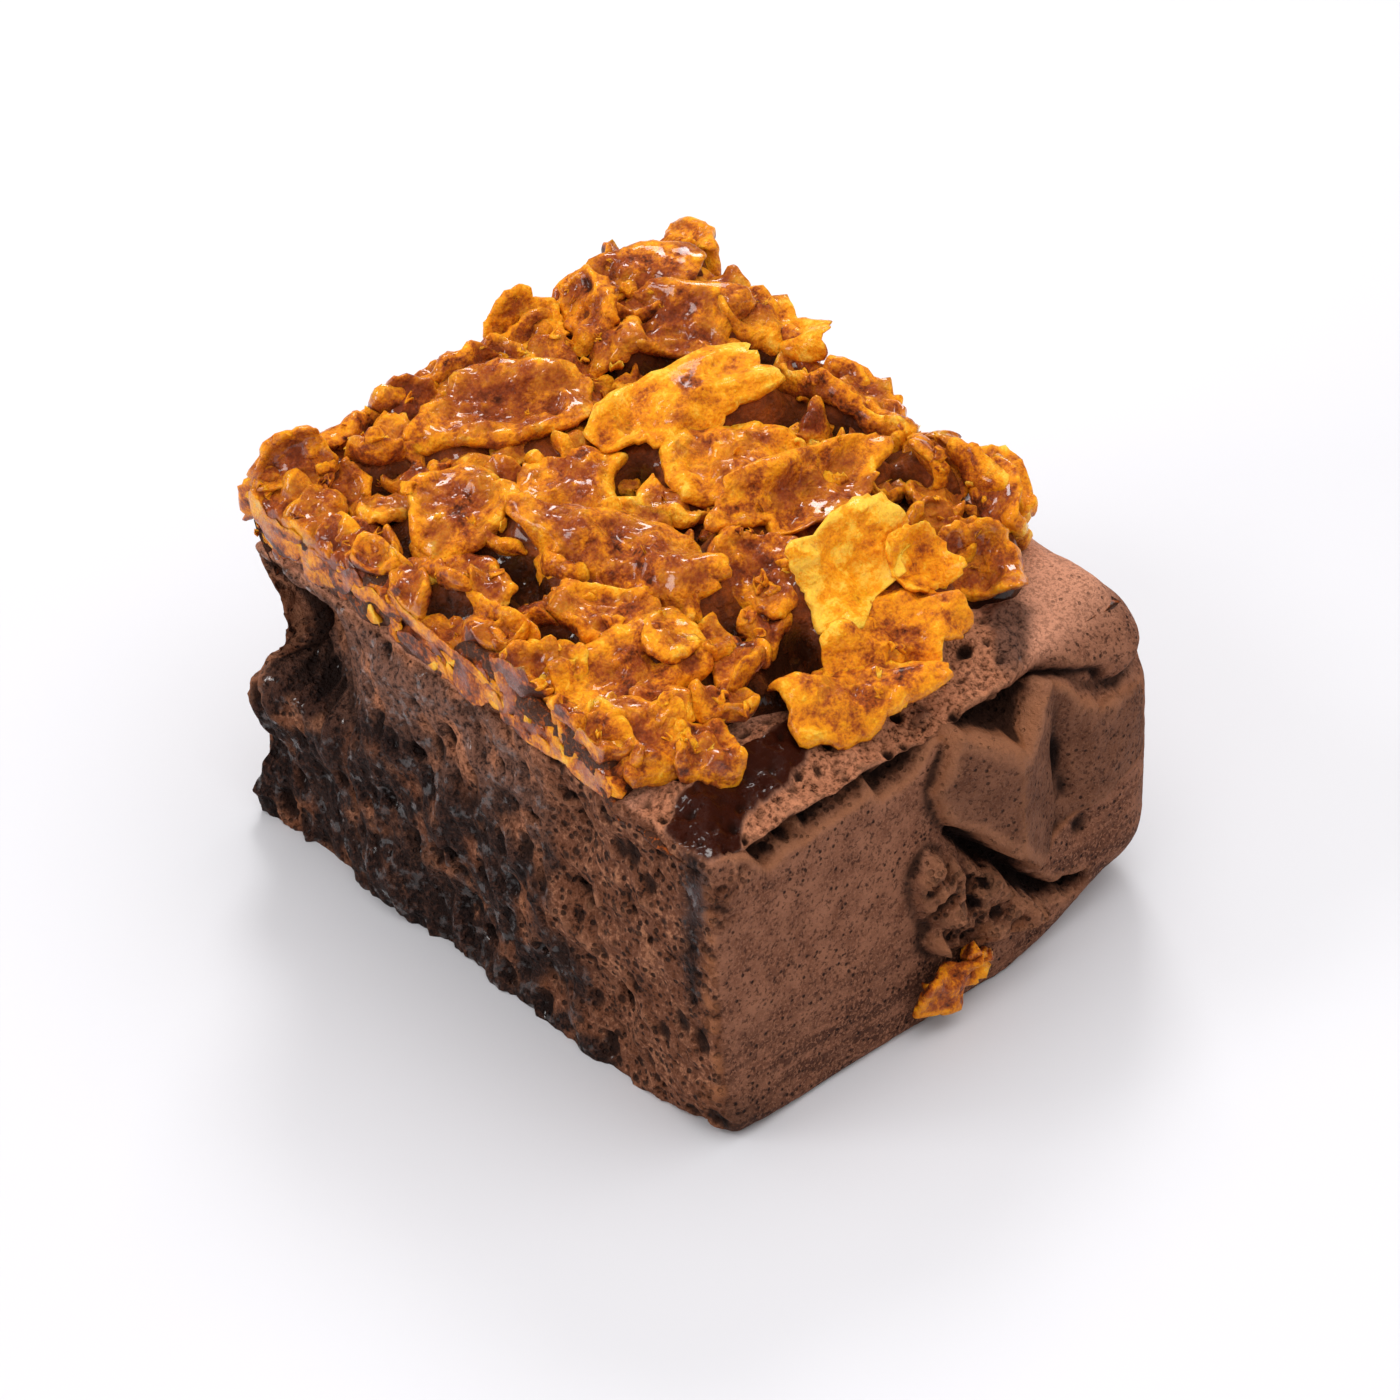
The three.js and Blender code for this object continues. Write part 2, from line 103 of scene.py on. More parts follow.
def domes(u, v, size, seed, share, small=0.25, large=0.5):
    # Round bumps scattered on a plane, one to a grid square at most: height in shares of size
    cu, cv = np.floor(u / size), np.floor(v / size)
    best = np.zeros(np.broadcast(u, v).shape)
    for du in (-1, 0, 1):
        for dv in (-1, 0, 1):
            a, b = cu + du, cv + dv
            au = (a + 0.2 + 0.6 * cell(a, b, 1, seed)) * size
            bv = (b + 0.2 + 0.6 * cell(a, b, 2, seed)) * size
            radius = (small + (large - small) * cell(a, b, 3, seed)) * size
            rise = 1 - ((u - au) ** 2 + (v - bv) ** 2) / radius**2
            rise = np.sqrt(np.clip(rise, 0, 1)) * radius / size
            best = np.maximum(best, np.where(cell(a, b, 4, seed) < share, rise, 0))
    return best


def distanceTo(line, x, z, closed=False):
    best = np.full(np.shape(x), 1e9)
    ends = line[1:] + line[:1] if closed else line[1:]
    for (ax, az), (bx, bz) in zip(line, ends):
        runX, runZ = bx - ax, bz - az
        t = np.clip(((x - ax) * runX + (z - az) * runZ) / (runX**2 + runZ**2), 0, 1)
        best = np.minimum(best, np.hypot(x - ax - t * runX, z - az - t * runZ))
    return best


def depthInside(line, x, z):  # distance inside a closed outline, negative outside
    inside = np.zeros(np.shape(x), bool)
    for (ax, az), (bx, bz) in zip(line, line[1:] + line[:1]):
        if az != bz:
            crossed = ((az > z) != (bz > z)) & (x < ax + (z - az) / (bz - az) * (bx - ax))
            inside ^= crossed
    return np.where(inside, 1, -1) * distanceTo(line, x, z, closed=True)


def spot(x, z, spots):  # sum of soft round spots: x, z, radius along x, radius along z, height
    return sum(h * np.exp(-(((x - sx) / rx) ** 2) - ((z - sz) / rz) ** 2) for sx, sz, rx, rz, h in spots)


def bell(value, width):  # 1 at 0, falling off to both sides
    return np.exp(-((value / width) ** 2))


def softened(field, times):
    for _ in range(times):
        padded = np.pad(field, 1, mode="edge")
        across = padded[:-2, 1:-1] + padded[2:, 1:-1]
        field = (across + padded[1:-1, :-2] + padded[1:-1, 2:] + 4 * field) / 8
    return field


def gridFacets(grid, flip=False):  # the facets between a grid's point numbers
    a, b, c, d = (part.ravel() for part in (grid[:-1, :-1], grid[1:, :-1], grid[1:, 1:], grid[:-1, 1:]))
    return np.stack([a, d, c, b] if flip else [a, b, c, d], 1)


# Pieces and their meshes

def makePiece(name, points, rings, finish, replaced=(), marks=None):
    # points in measured millimetres, rings are arrays of corner numbers, marks are values on the points
    points = np.clip(points + placed, cadLow, cadHigh)
    mesh = bpy.data.meshes.new(name)
    mesh.vertices.add(len(points))
    mesh.vertices.foreach_set("co", (points * mm).astype(np.float32).ravel())
    corners = np.concatenate([r.ravel() for r in rings]).astype(np.int32)
    counts = np.concatenate([np.full(len(r), r.shape[1]) for r in rings])
    starts = np.concatenate([[0], np.cumsum(counts)[:-1]]).astype(np.int32)
    mesh.loops.add(len(corners))
    mesh.loops.foreach_set("vertex_index", corners)
    mesh.polygons.add(len(starts))
    mesh.polygons.foreach_set("loop_start", starts)
    mesh.update(calc_edges=True)
    mesh.validate()
    mesh.polygons.foreach_set("use_smooth", np.ones(len(mesh.polygons), bool))
    for mark, values in (marks or {}).items():
        layer = mesh.attributes.new(mark, "FLOAT", "POINT")
        layer.data.foreach_set("value", np.asarray(values, np.float32))
    mesh.materials.append(finish)
    piece = bpy.data.objects.new(name, mesh)
    bpy.context.scene.collection.objects.link(piece)
    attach(piece, "root")
    for node in replaced:
        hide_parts(node)
    print(name, len(corners) - 2 * len(counts), "triangles")
    return piece


# Finishes

class Wire:
    # One output of a material's nodes, with arithmetic on it
    def __init__(self, finish, socket):
        self.finish = finish
        self.socket = socket

    def maths(self, operation, *values, clamped=False):
        settings = {"operation": operation, "use_clamp": clamped}
        return self.finish.node("ShaderNodeMath", settings, dict(enumerate(values)))

    def __add__(self, other):
        return self.maths("ADD", self, other)

    def __sub__(self, other):
        return self.maths("SUBTRACT", self, other)

    def __rsub__(self, other):
        return self.maths("SUBTRACT", other, self)

    def __mul__(self, other):
        return self.maths("MULTIPLY", self, other)

    __radd__ = __add__
    __rmul__ = __mul__

    def clamped(self):
        return self.maths("ADD", self, 0.0, clamped=True)

    def atLeast(self, other):
        return self.maths("MAXIMUM", self, other)


class Finish:
    # A material under construction
    def __init__(self, name):
        self.material = bpy.data.materials.new(name)
        self.material.use_nodes = True
        self.tree = self.material.node_tree
        self.tree.nodes.clear()

    def node(self, kind, settings=None, sockets=None, output=0):
        made = self.tree.nodes.new(kind)
        for key, value in (settings or {}).items():
            if key == "stops":
                self.setStops(made.color_ramp, value)
            else:
                setattr(made, key, value)
        for key, value in (sockets or {}).items():
            if isinstance(value, Wire):
                self.tree.links.new(value.socket, made.inputs[key])
            else:
                made.inputs[key].default_value = value
        return Wire(self, made.outputs[output]) if made.outputs else None

    def setStops(self, ramp, stops):
        while len(ramp.elements) < len(stops):
            ramp.elements.new(0.5)
        for element, (place, shade) in zip(ramp.elements, stops):
            element.position = place
            element.color = (*shade, 1)

    def mark(self, name):
        return self.node("ShaderNodeAttribute", {"attribute_name": name}, output="Fac")

    def place(self):
        return self.node("ShaderNodeTexCoord", output="Object")

    def noise(self, size, detail=3.0, rough=0.55, twist=0.0, stretch=None):
        sockets = {"Scale": 1 / (size * mm), "Detail": detail, "Roughness": rough, "Distortion": twist}
        at = self.place()
        if stretch:
            at = self.node("ShaderNodeMapping", None, {"Vector": at, "Scale": stretch})
        return self.node("ShaderNodeTexNoise", None, {**sockets, "Vector": at}, output="Fac")

    def pores(self, size):  # distance to the nearest pore's middle, in shares of size
        sockets = {"Vector": self.place(), "Scale": 1 / (size * mm), "Randomness": 1.0}
        return self.node("ShaderNodeTexVoronoi", {"feature": "F1"}, sockets, output="Distance")

    def ramp(self, value, stops):
        return self.node("ShaderNodeValToRGB", {"stops": stops}, {"Fac": value})

    def step(self, value, low, high):  # smooth step from low to high
        sockets = {"Value": value, "From Min": low, "From Max": high}
        return self.node("ShaderNodeMapRange", {"interpolation_type": "SMOOTHSTEP"}, sockets)

    def mixed(self, factor, first, second):
        # Sockets 0, 6 and 7 are the colour mix's factor and its two colours
        first, second = ((*v, 1) if isinstance(v, tuple) and len(v) == 3 else v for v in (first, second))
        sockets = {0: factor, 6: first, 7: second}
        return self.node("ShaderNodeMix", {"data_type": "RGBA"}, sockets, output=2)

    def bump(self, height, depth, strength=1.0):
        sockets = {"Height": height, "Distance": depth * mm, "Strength": strength}
        return self.node("ShaderNodeBump", None, sockets)

    def done(self, sockets):
        shader = self.node("ShaderNodeBsdfPrincipled", None, sockets)
        self.node("ShaderNodeOutputMaterial", None, {"Surface": shader})
        return self.material


chocolate = {
    "skin": (0.190, 0.070, 0.037), "skinPale": (0.36, 0.150, 0.084), "skinDark": (0.055, 0.018, 0.010),
    "top": (0.82, 0.370, 0.225), "strip": (0.76, 0.300, 0.150), "edge": (0.33, 0.120, 0.050),
    # crumbDarkAndShade is the darkest crumb and also the painted shade in holes, cracks and hollows
    "crumb": (0.140, 0.045, 0.019), "crumbPale": (0.44, 0.185, 0.095), "crumbDarkAndShade": (0.014, 0.005, 0.003),
    "wet": (0.010, 0.004, 0.0035),
    # filmSheen is a light brown that stands for the sheen on smeared moist parts, a painted reflection
    "smeared": (0.062, 0.024, 0.016), "filmSheen": (0.290, 0.130, 0.084), "syrup": (0.034, 0.0055, 0.0018),
}


def chocolateFinish():
    f = Finish("baked_chocolate")
    c = chocolate
    crumb, wet, pit, edge, syrup, bright, hollow = (
        f.mark(m) for m in ("crumb", "wet", "pit", "edge", "syrup", "bright", "hollow"))
    height = f.node("ShaderNodeSeparateXYZ", None, {"Vector": f.place()}, output=2)
    low = 1 - f.step(height, 5 * mm, 17 * mm)
    mottle = f.noise(3.2, 4, 0.6)
    fine = f.noise(0.55, 4, 0.7)
    dust = f.noise(0.34, 2, 0.6)
    streak = f.noise(2.4, 3, 0.6, 0, (0.3, 0.3, 1.6))
    skin = f.mixed(f.step(mottle, 0.3, 0.72), c["skin"], c["skinPale"])
    skin = f.mixed(bright * 0.95, skin, c["top"])
    skin = f.mixed((f.step(streak, 0.42, 0.58) * 0.6 + 0.2) * low, skin, c["skinDark"])
    skin = f.mixed((1 - f.step(fine, 0.40, 0.48)) * (0.75 - bright * 0.5), skin, c["skinDark"])
    skin = f.mixed(f.step(dust, 0.52, 0.6) * 0.65, skin, c["skinPale"])
    inside = f.ramp(f.step(fine * 0.6 + mottle * 0.4, 0.34, 0.66), [
        (0.0, c["crumbDarkAndShade"]), (0.25, c["crumb"]), (0.65, c["skin"]), (1.0, c["crumbPale"])])
    inside = f.mixed(bright * f.step(fine, 0.36, 0.56) * 0.7, inside, c["strip"])
    colour = f.mixed(crumb.clamped(), skin, inside)
    # Pores pricked through the skin, most of them low and in the middle; their insides are painted dark as
    # shade
    prick = (1 - f.step(f.pores(0.95), 0.11, 0.24)) * f.step(f.noise(6.0, 2, 0.5) + low * 0.08, 0.36, 0.5)
    bubble = (1 - f.step(f.pores(0.8), 0.2, 0.42)) * f.step(f.noise(1.6, 2, 0.5), 0.36, 0.5)
    bubble = bubble.atLeast(1 - f.step(f.pores(2.3), 0.1, 0.24)) * (1 - bright * 0.85)
    holes = f.mixed(crumb.clamped(), prick * (1 - bright * 0.6), bubble)
    colour = f.mixed((holes * 0.85).clamped(), colour, c["crumbDarkAndShade"])
    colour = f.mixed(edge.clamped(), colour, c["edge"])
    # The pit mark paints shade into cracks, pores and holes, and also darkens the flap, the crumb band and
    # the torn crumb
    colour = f.mixed(pit.clamped(), colour, c["crumbDarkAndShade"])
    # Moist parts: darker in the hollows as painted shade, and lighter where bright is set as a painted
    # sheen
    dampAndSheen = f.mixed(f.step(fine - hollow * 0.25, 0.46, 0.68), c["wet"], c["smeared"])
    dampAndSheen = f.mixed((bright * f.step(fine, 0.3, 0.6)).clamped(), dampAndSheen, c["filmSheen"])
    glint = f.step(f.noise(1.5, 3, 0.6), 0.54, 0.64) * wet
    colour = f.mixed((wet * 0.92).clamped(), colour, dampAndSheen)
    colour = f.mixed(syrup.clamped(), colour, c["syrup"])
    # Painted shade darkens the hollows and a painted highlight lightens the crests
    colour = f.mixed(f.step(hollow, 0.02, 0.55) * 0.85, colour, c["crumbDarkAndShade"])
    crestHighlight = f.step(0 - hollow, 0.05, 0.5) * (1 - wet.clamped()) * (1 - syrup.clamped())
    colour = f.mixed(crestHighlight * 0.45, colour, c["crumbPale"])
    rough = 0.8 - wet * 0.2 - syrup * 0.45
    relief = (fine * 0.9 + dust * 0.3 + f.noise(1.2, 3, 0.6) * 0.6) * (1 + wet * 0.6) - holes * 0.8
    normal = f.bump(relief * (1 - syrup.clamped() * 0.6), 0.6, 1.0)
    return f.done({
        "Base Color": colour, "Roughness": rough.atLeast(0.1), "Normal": normal,
        "Coat Weight": (syrup * 0.4 + glint).clamped(), "Specular IOR Level": 0.16,
        "Coat Roughness": 0.09,
    })


toffee = {
    "burnt": (0.075, 0.015, 0.005), "amber": (0.38, 0.078, 0.010), "orange": (0.74, 0.230, 0.008),
    # filmSheen is the red-brown of thick caramel, tinted pinkish as a painted sheen
    "gold": (0.92, 0.35, 0.008), "pale": (0.98, 0.54, 0.055), "filmSheen": (0.25, 0.050, 0.018),
    "wall": (0.075, 0.027, 0.014), "deep": (0.030, 0.008, 0.003), "dark": (0.120, 0.026, 0.006),
}


def flakeFinish():
    f = Finish("toasted_cornflake")
    t = toffee
    tone, glaze, rim = f.mark("tone"), f.mark("glaze"), f.mark("rim")
    mottle = f.noise(2.0, 3, 0.55, 0.3)
    speck = f.noise(0.42, 3, 0.7)
    spots = f.step(f.noise(1.1, 3, 0.6), 0.56, 0.7)
    # tone carries the painted highlights on blisters and ridges and the painted shade on undersides
    shade = tone + (mottle - 0.5) * 1.5 + (speck - 0.5) * 0.9 + rim * 0.14 + spots * 0.16 + 0.01
    colour = f.ramp(shade.clamped(), [
        (0.0, t["burnt"]), (0.25, t["amber"]), (0.5, t["orange"]), (0.76, t["gold"]), (1.0, t["pale"])])
    # Thicker caramel lies in the hollows as a smooth red-brown film, tinted pinkish as a painted sheen
    filmSheen = f.step(glaze + (f.noise(2.6, 4, 0.65, 0.5) - 0.5) * 2.4 - rim * 0.3, 0.45, 1.0)
    colour = f.mixed(filmSheen * 0.6, colour, t["filmSheen"])
    rough = 0.52 - filmSheen * 0.3 + (speck - 0.5) * 0.3
    height = mottle * 0.4 + speck * 0.4 * (1.1 - filmSheen) + f.noise(0.9, 2, 0.5) * 0.9
    normal = f.bump(height, 0.6, 0.9)
    return f.done({
        "Base Color": colour, "Roughness": rough.atLeast(0.12), "Normal": normal,
        "Coat Weight": (filmSheen * 0.7 + glaze * 0.5).clamped(), "Coat Roughness": 0.06,
        "Specular IOR Level": 0.15,
        "Subsurface Weight": 0.25, "Subsurface Radius": (1.0, 0.4, 0.08), "Subsurface Scale": 0.8 * mm,
    })


def caramelFinish():
    f = Finish("dark_caramel")
    t = toffee
    thin, wall = f.mark("thin"), f.mark("wall")
    swirl = f.noise(2.6, 4, 0.6, 0.6)
    grains = f.noise(0.6, 3, 0.65)
    shade = thin * 0.5 + (swirl - 0.5) * 0.9 + (grains - 0.5) * 0.5
    colour = f.ramp(shade.clamped(), [
        (0.0, t["deep"]), (0.4, t["dark"]), (0.8, t["amber"]), (1.0, t["orange"])])
    crumbs = f.mixed(f.step(grains, 0.5, 0.7), t["wall"], t["amber"])
    colour = f.mixed(wall, colour, crumbs)
    rough = 0.24 + f.step(thin, 0.45, 0.9) * 0.2 + wall * 0.36
    normal = f.bump(f.noise(1.3, 4, 0.6) + grains * 0.5 * (0.5 + wall), 0.8, 1.0)
    return f.done({
        "Base Color": colour, "Roughness": rough, "Normal": normal, "Coat Weight": 0.7 - wall * 0.6,
        "Coat Roughness": 0.07, "Specular IOR Level": 0.2,
    })


worktop = {"shade": (0.66, 0.655, 0.685), "paler": (0.68, 0.675, 0.705), "cloud": 220.0, "reach": 3.0}


def floorFinish():
    f = Finish("pale_worktop")
    cloud = f.noise(worktop["cloud"], 3, 0.5)
    colour = f.mixed(f.step(cloud, 0.4, 0.7), worktop["shade"], worktop["paler"])
    return f.done({"Base Color": colour, "Roughness": 0.5})


# Light, floor and camera

view = {
    "azimuth": -42.8, "elevation": 39.0, "distance": 600.0, "centre": (0.0, 0.0, 25.0),
    "right": 0.45, "up": -5.85, "lens": 158.2, "sensor": 36.0,
}


def makeCamera():
    a, e = math.radians(view["azimuth"]), math.radians(view["elevation"])
    back = Vector((math.sin(a) * math.cos(e), -math.cos(a) * math.cos(e), math.sin(e)))
    right = Vector((math.cos(a), math.sin(a), 0))
    up = back.cross(right)
    aim = Vector(view["centre"]) + right * view["right"] + up * view["up"] + Vector(placed)
    data = bpy.data.cameras.new("camera")
    data.lens = view["lens"]
    data.sensor_width = view["sensor"]
    data.clip_start = 0.01
    camera = bpy.data.objects.new("camera", data)
    bpy.context.scene.collection.objects.link(camera)
    turn = Matrix((right, up, back)).transposed().to_4x4()
    camera.matrix_world = Matrix.Translation((aim + back * view["distance"]) * mm) @ turn
    bpy.context.scene.camera = camera


softboxes = [  # name, place in metres, side in metres, power in watts
    ("overhead", (0.10, -0.12, 0.88), 1.1, 6.0),
    ("window", (-0.60, 0.45, 0.70), 0.20, 1.4),
    ("side", (-0.80, 0.30, 0.30), 0.32, 1.8),
    ("back", (0.42, 0.48, 0.55), 0.22, 1.8),
]
softboxesFace = (0, 0, 0.02)  # near the middle of the piece, in metres
glintSide = 0.5  # wider ones light softly and leave the glints to the small ones
surround = {"shade": (1.0, 0.985, 0.97), "strength": 0.72}


def makeLight():
    for name, spotPlace, side, power in softboxes:
        data = bpy.data.lights.new(name, "AREA")
        data.shape = "SQUARE"
        data.size = side
        data.energy = power
        lamp = bpy.data.objects.new(name, data)
        lamp.location = spotPlace
        lamp.visible_glossy = side < glintSide
        away = Vector(spotPlace) - Vector(softboxesFace)
        lamp.rotation_euler = away.to_track_quat("Z", "Y").to_euler()
        bpy.context.scene.collection.objects.link(lamp)
    world = bpy.data.worlds.new("surround")
    bpy.context.scene.world = world
    world.use_nodes = True
    shade = world.node_tree.nodes["Background"].inputs
    shade["Color"].default_value = (*surround["shade"], 1)
    shade["Strength"].default_value = surround["strength"]
    world.cycles_visibility.glossy = False  # keeps the dark, moist parts deep in colour
    bpy.context.scene.view_settings.view_transform = "Standard"


def makeFloor():
    reach = worktop["reach"]
    mesh = bpy.data.meshes.new("worktop")
    mesh.from_pydata([(-reach, -reach, 0), (reach, -reach, 0), (reach, reach, 0), (-reach, reach, 0)], [],
                     [(0, 1, 2, 3)])
    mesh.materials.append(floorFinish())
    floor = bpy.data.objects.new("worktop", mesh)
    bpy.context.scene.collection.objects.link(floor)


makeCamera()
makeLight()
makeFloor()
print("camera, light and floor made")


# The cake. x runs across, y from the near crust to the far cut, z up, all in measured millimetres.

crust = {
    "lip": [
        (-29, 34.2), (-23.3, 31.6), (-22, 29.5), (-13, 30.1), (-8.6, 30.6), (-6.7, 29), (-4, 28.8),
        (0, 31.2), (2, 32), (5.7, 30.4), (10, 27.4), (15.3, 31.4), (18.6, 27.7), (21.4, 25.2), (25, 24.4),
        (32, 24.4)],
    "flapCrack": [(2, 20.8), (4.6, 17.2), (8.2, 13.6), (10.2, 10.4), (13.6, 7.2), (19, 5.1)],
    "flap": [
        (1.7, 32.2), (-0.9, 26.3), (0.9, 22.2), (3.5, 20.6), (5.6, 18.2), (8.6, 14.4), (12, 11.4),
        (18.4, 13.2), (23, 14.1), (29, 16), (29, 24.3), (21.4, 25.2), (16.3, 30.4), (12.9, 29.5),
        (10, 27.4), (5.7, 30.4)],
    "tornCrumb": [
        (-2.1, 20.5), (-4.1, 18), (-3.8, 14.2), (-2.5, 12.3), (-3.5, 10.3), (-1.5, 8), (4, 5.6),
        (13.5, 6.1), (8.8, 10.8), (5.2, 15.7), (3.2, 16.4), (-0.1, 19.1)],
    "topCrack": [(-4, 34.6), (0.9, 34.9), (4.4, 34.4), (7.9, 33.2), (15.4, 31.9), (22.8, 27.6)],
    "cornerCrack": [(-26, 34.2), (-22.5, 33), (-18.5, 31.9)],
    "ridge": 8.3, "valley": 16.2,
    "ragged": 0.7,  # how far the torn edges wander
    # Soft spots: x, height, radius along x, radius along z, strength
    "valleyHoles": [(16.4, 21.5, 0.9, 2.6, 1.0), (19.3, 11.9, 1.8, 1.5, 0.9), (17.4, 17.5, 0.7, 1.6, 0.6)],
    "chips": [(-26.6, 30.2, 2.6, 1.6, 1.0), (-27.8, 27.2, 1.5, 1.6, 0.8)],
    "darkFoot": [(-27.5, 2.2, 4.5, 2.6, 1.0)],
}
cut = {
    # Lumps and hollows of the left cut face: y, height, radius, how far they stand out
    "forms": [
        (31, 16, 3, 1.6), (33, 2.5, 3, 1), (31, 8.6, 2.6, -1.6), (15.5, 16.7, 4, 1), (12.5, 4.5, 3, 1.4),
        (4, 24, 5, -1.1), (-6, 14, 6, 0.7), (-15, 19, 2.6, -1.4), (-20, 9.2, 2.2, -1.2),
        (-14.6, 27, 2.6, -1.1), (22, 8, 4, -1.2), (2, 8, 5, -0.8)],
    # Deep round holes in it: y, height, radius along y, radius along z, depth
    "holes": [
        (-14.9, 19.3, 1.3, 0.9, 1.3), (-17.0, 18.4, 1.1, 0.8, 1.2), (-20.5, 9.7, 1.0, 1.5, 1.5),
        (-13.4, 29.6, 1.1, 0.9, 1.3), (-15.3, 27.6, 1.5, 1.0, 1.3), (-24.8, 19.9, 0.8, 0.6, 0.9),
        (-25.9, 27.9, 0.7, 0.6, 0.8), (-22.5, 22.1, 0.6, 0.6, 0.9), (-12.4, 14.5, 0.8, 0.6, 0.8),
        (-8.6, 24.6, 1.0, 0.8, 1.2), (-4.2, 27.8, 0.9, 0.7, 1.1), (3.5, 12.4, 1.1, 0.8, 1.2),
        (-9.8, 8.8, 0.9, 1.0, 1.2), (8.8, 21.5, 1.2, 0.9, 1.3), (-1.2, 4.6, 1.2, 0.8, 1.2),
        (19.5, 12.0, 1.0, 1.2, 1.2)],
    # Dark moist blobs on it: y, height, radius along y, radius along z, strength
    "blobs": [(15.5, 16.7, 3, 3, 1), (12.5, 4.5, 2.5, 3, 1), (26, 20, 4, 3, 0.7)],
    # Where the dry crumb gives way to the smeared, moist part: height, y
    "dryEdge": [(0, -19.3), (7, -16.2), (12.6, -13.6), (18.4, -11.6), (27.3, -10.2), (34, -9)],
    "slant": 0.24,  # the knife's drag leans this much off upright
}
waist = {"low": 17.5, "full": 21.0, "to": 28.0, "end": 33.5, "depth": 6.0, "backDepth": 3.5}


def crustForm(x, z):
    # How far the near crust stands out: its skin, the flap, the crack and the torn crumb
    ridge, valley = crust["ridge"], crust["valley"]
    x = x + crust["ragged"] * grain(x, 1, z, 2.6, 301, 2)
    z = z + crust["ragged"] * grain(x, 2, z, 2.4, 302, 2)
    above = z - np.interp(x, *zip(*crust["lip"]))
    facets = np.interp(x, [-1, ridge, valley, valley + 4], [1.4, 3.3, -0.7, 0.7])
    lifted = facets * (1 - blend(21, 28, x))
    flapDepth = depthInside(crust["flap"], x, z)
    tornDepth = depthInside(crust["tornCrumb"], x, z)
    onTorn = blend(-0.3, 0.8, tornDepth)
    gaping = 1 - blend(12, 18, x)
    setBack = 1.8 * blend(-0.2, 1.0, above) * gaping
    gape = (0.7 + 0.9 * blend(0, 8, x)) * bell(above - 1.6, 1.4)
    crackReach = distanceTo(crust["flapCrack"], x, z)
    crack = 3.0 * bell(crackReach, 0.8)
    topCrack = distanceTo(crust["topCrack"], x, z)
    cornerCrack = distanceTo(crust["cornerCrack"], x, z)
    nuggets = 1.9 * lumps(x, 3, z, 2.6, 5) + 1.2 * lumps(x, 8, z, 1.3, 6)
    torn = onTorn * (1.7 + nuggets)
    shift = 0.35 * lumps(x, 0, z, 9, 11) + lifted * blend(-0.3, 0.45, flapDepth)
    shift = shift + torn - setBack - gape - crack
    valleyHole = spot(x, z, crust["valleyHoles"])
    shift = shift - 1.1 * valleyHole - 1.0 * bell(topCrack, 0.6) - 1.9 * bell(cornerCrack, 0.8)
    band = blend(0, 0.7, above) * gaping
    chipped = spot(x, z, crust["chips"])
    crumb = np.clip(np.maximum(band, onTorn) + chipped + bell(crackReach, 1.3), 0, 1)
    rough = crumb * (1.1 * grain(x, 4, z, 1.9, 311) + 0.45 * onTorn * grain(x, 5, z, 2.4, 312))
    skinLump = (1 - crumb) * (0.16 + 0.16 * blend(0, 0.6, flapDepth)) * grain(x, 6, z, 2.6, 313, 4)
    pocks = domes(x, z, 2.1, 314, 0.6, 0.15, 0.38) * crumb * 2.0
    edge = 0.8 * bell(above + 0.1, 0.3) * gaping + 0.8 * bell(flapDepth - 0.3, 0.4)
    edge = edge + 0.8 * onTorn * blend(-0.1, 0.6, lumps(x, 7, z, 1.4, 316))
    # pit: painted shade in the cracks, the gape, the pocks and the valley holes; also a darker patch at the
    # foot, and a darker flap, crumb band and torn crumb
    pit = bell(crackReach, 0.8) + 0.8 * bell(topCrack, 0.5)
    pit = pit + bell(cornerCrack, 0.7) + 0.25 * gape * gaping + blend(0.3, 1.2, pocks * 2)
    pit = pit + 0.55 * spot(x, z, crust["darkFoot"]) + 0.8 * blend(0.3, 0.9, valleyHole)
    onFlap = blend(0, 0.6, flapDepth)
    pit = pit + 0.34 * onFlap + 0.25 * band + 0.25 * onTorn * blend(-0.3, 0.5, lumps(x, 13, z, 3, 347))
    ridgeLine = bell(x - ridge, 0.5) * onFlap
    edge = edge + 0.12 * onFlap + 0.5 * ridgeLine + 0.5 * band * blend(-0.4, 0.5, lumps(x, 12, z, 1.8, 346))
    return shift + rough + skinLump - pocks, {"crumb": crumb, "edge": edge * (1 - pit), "pit": pit}


def waistAt(along, z):
    z = z + 2.2 * lumps(along, 3, z, 5, 343)
    return blend(waist["low"] - 1, waist["full"] + 1.5, z) * (1 - blend(waist["to"] - 1.5, waist["end"], z))


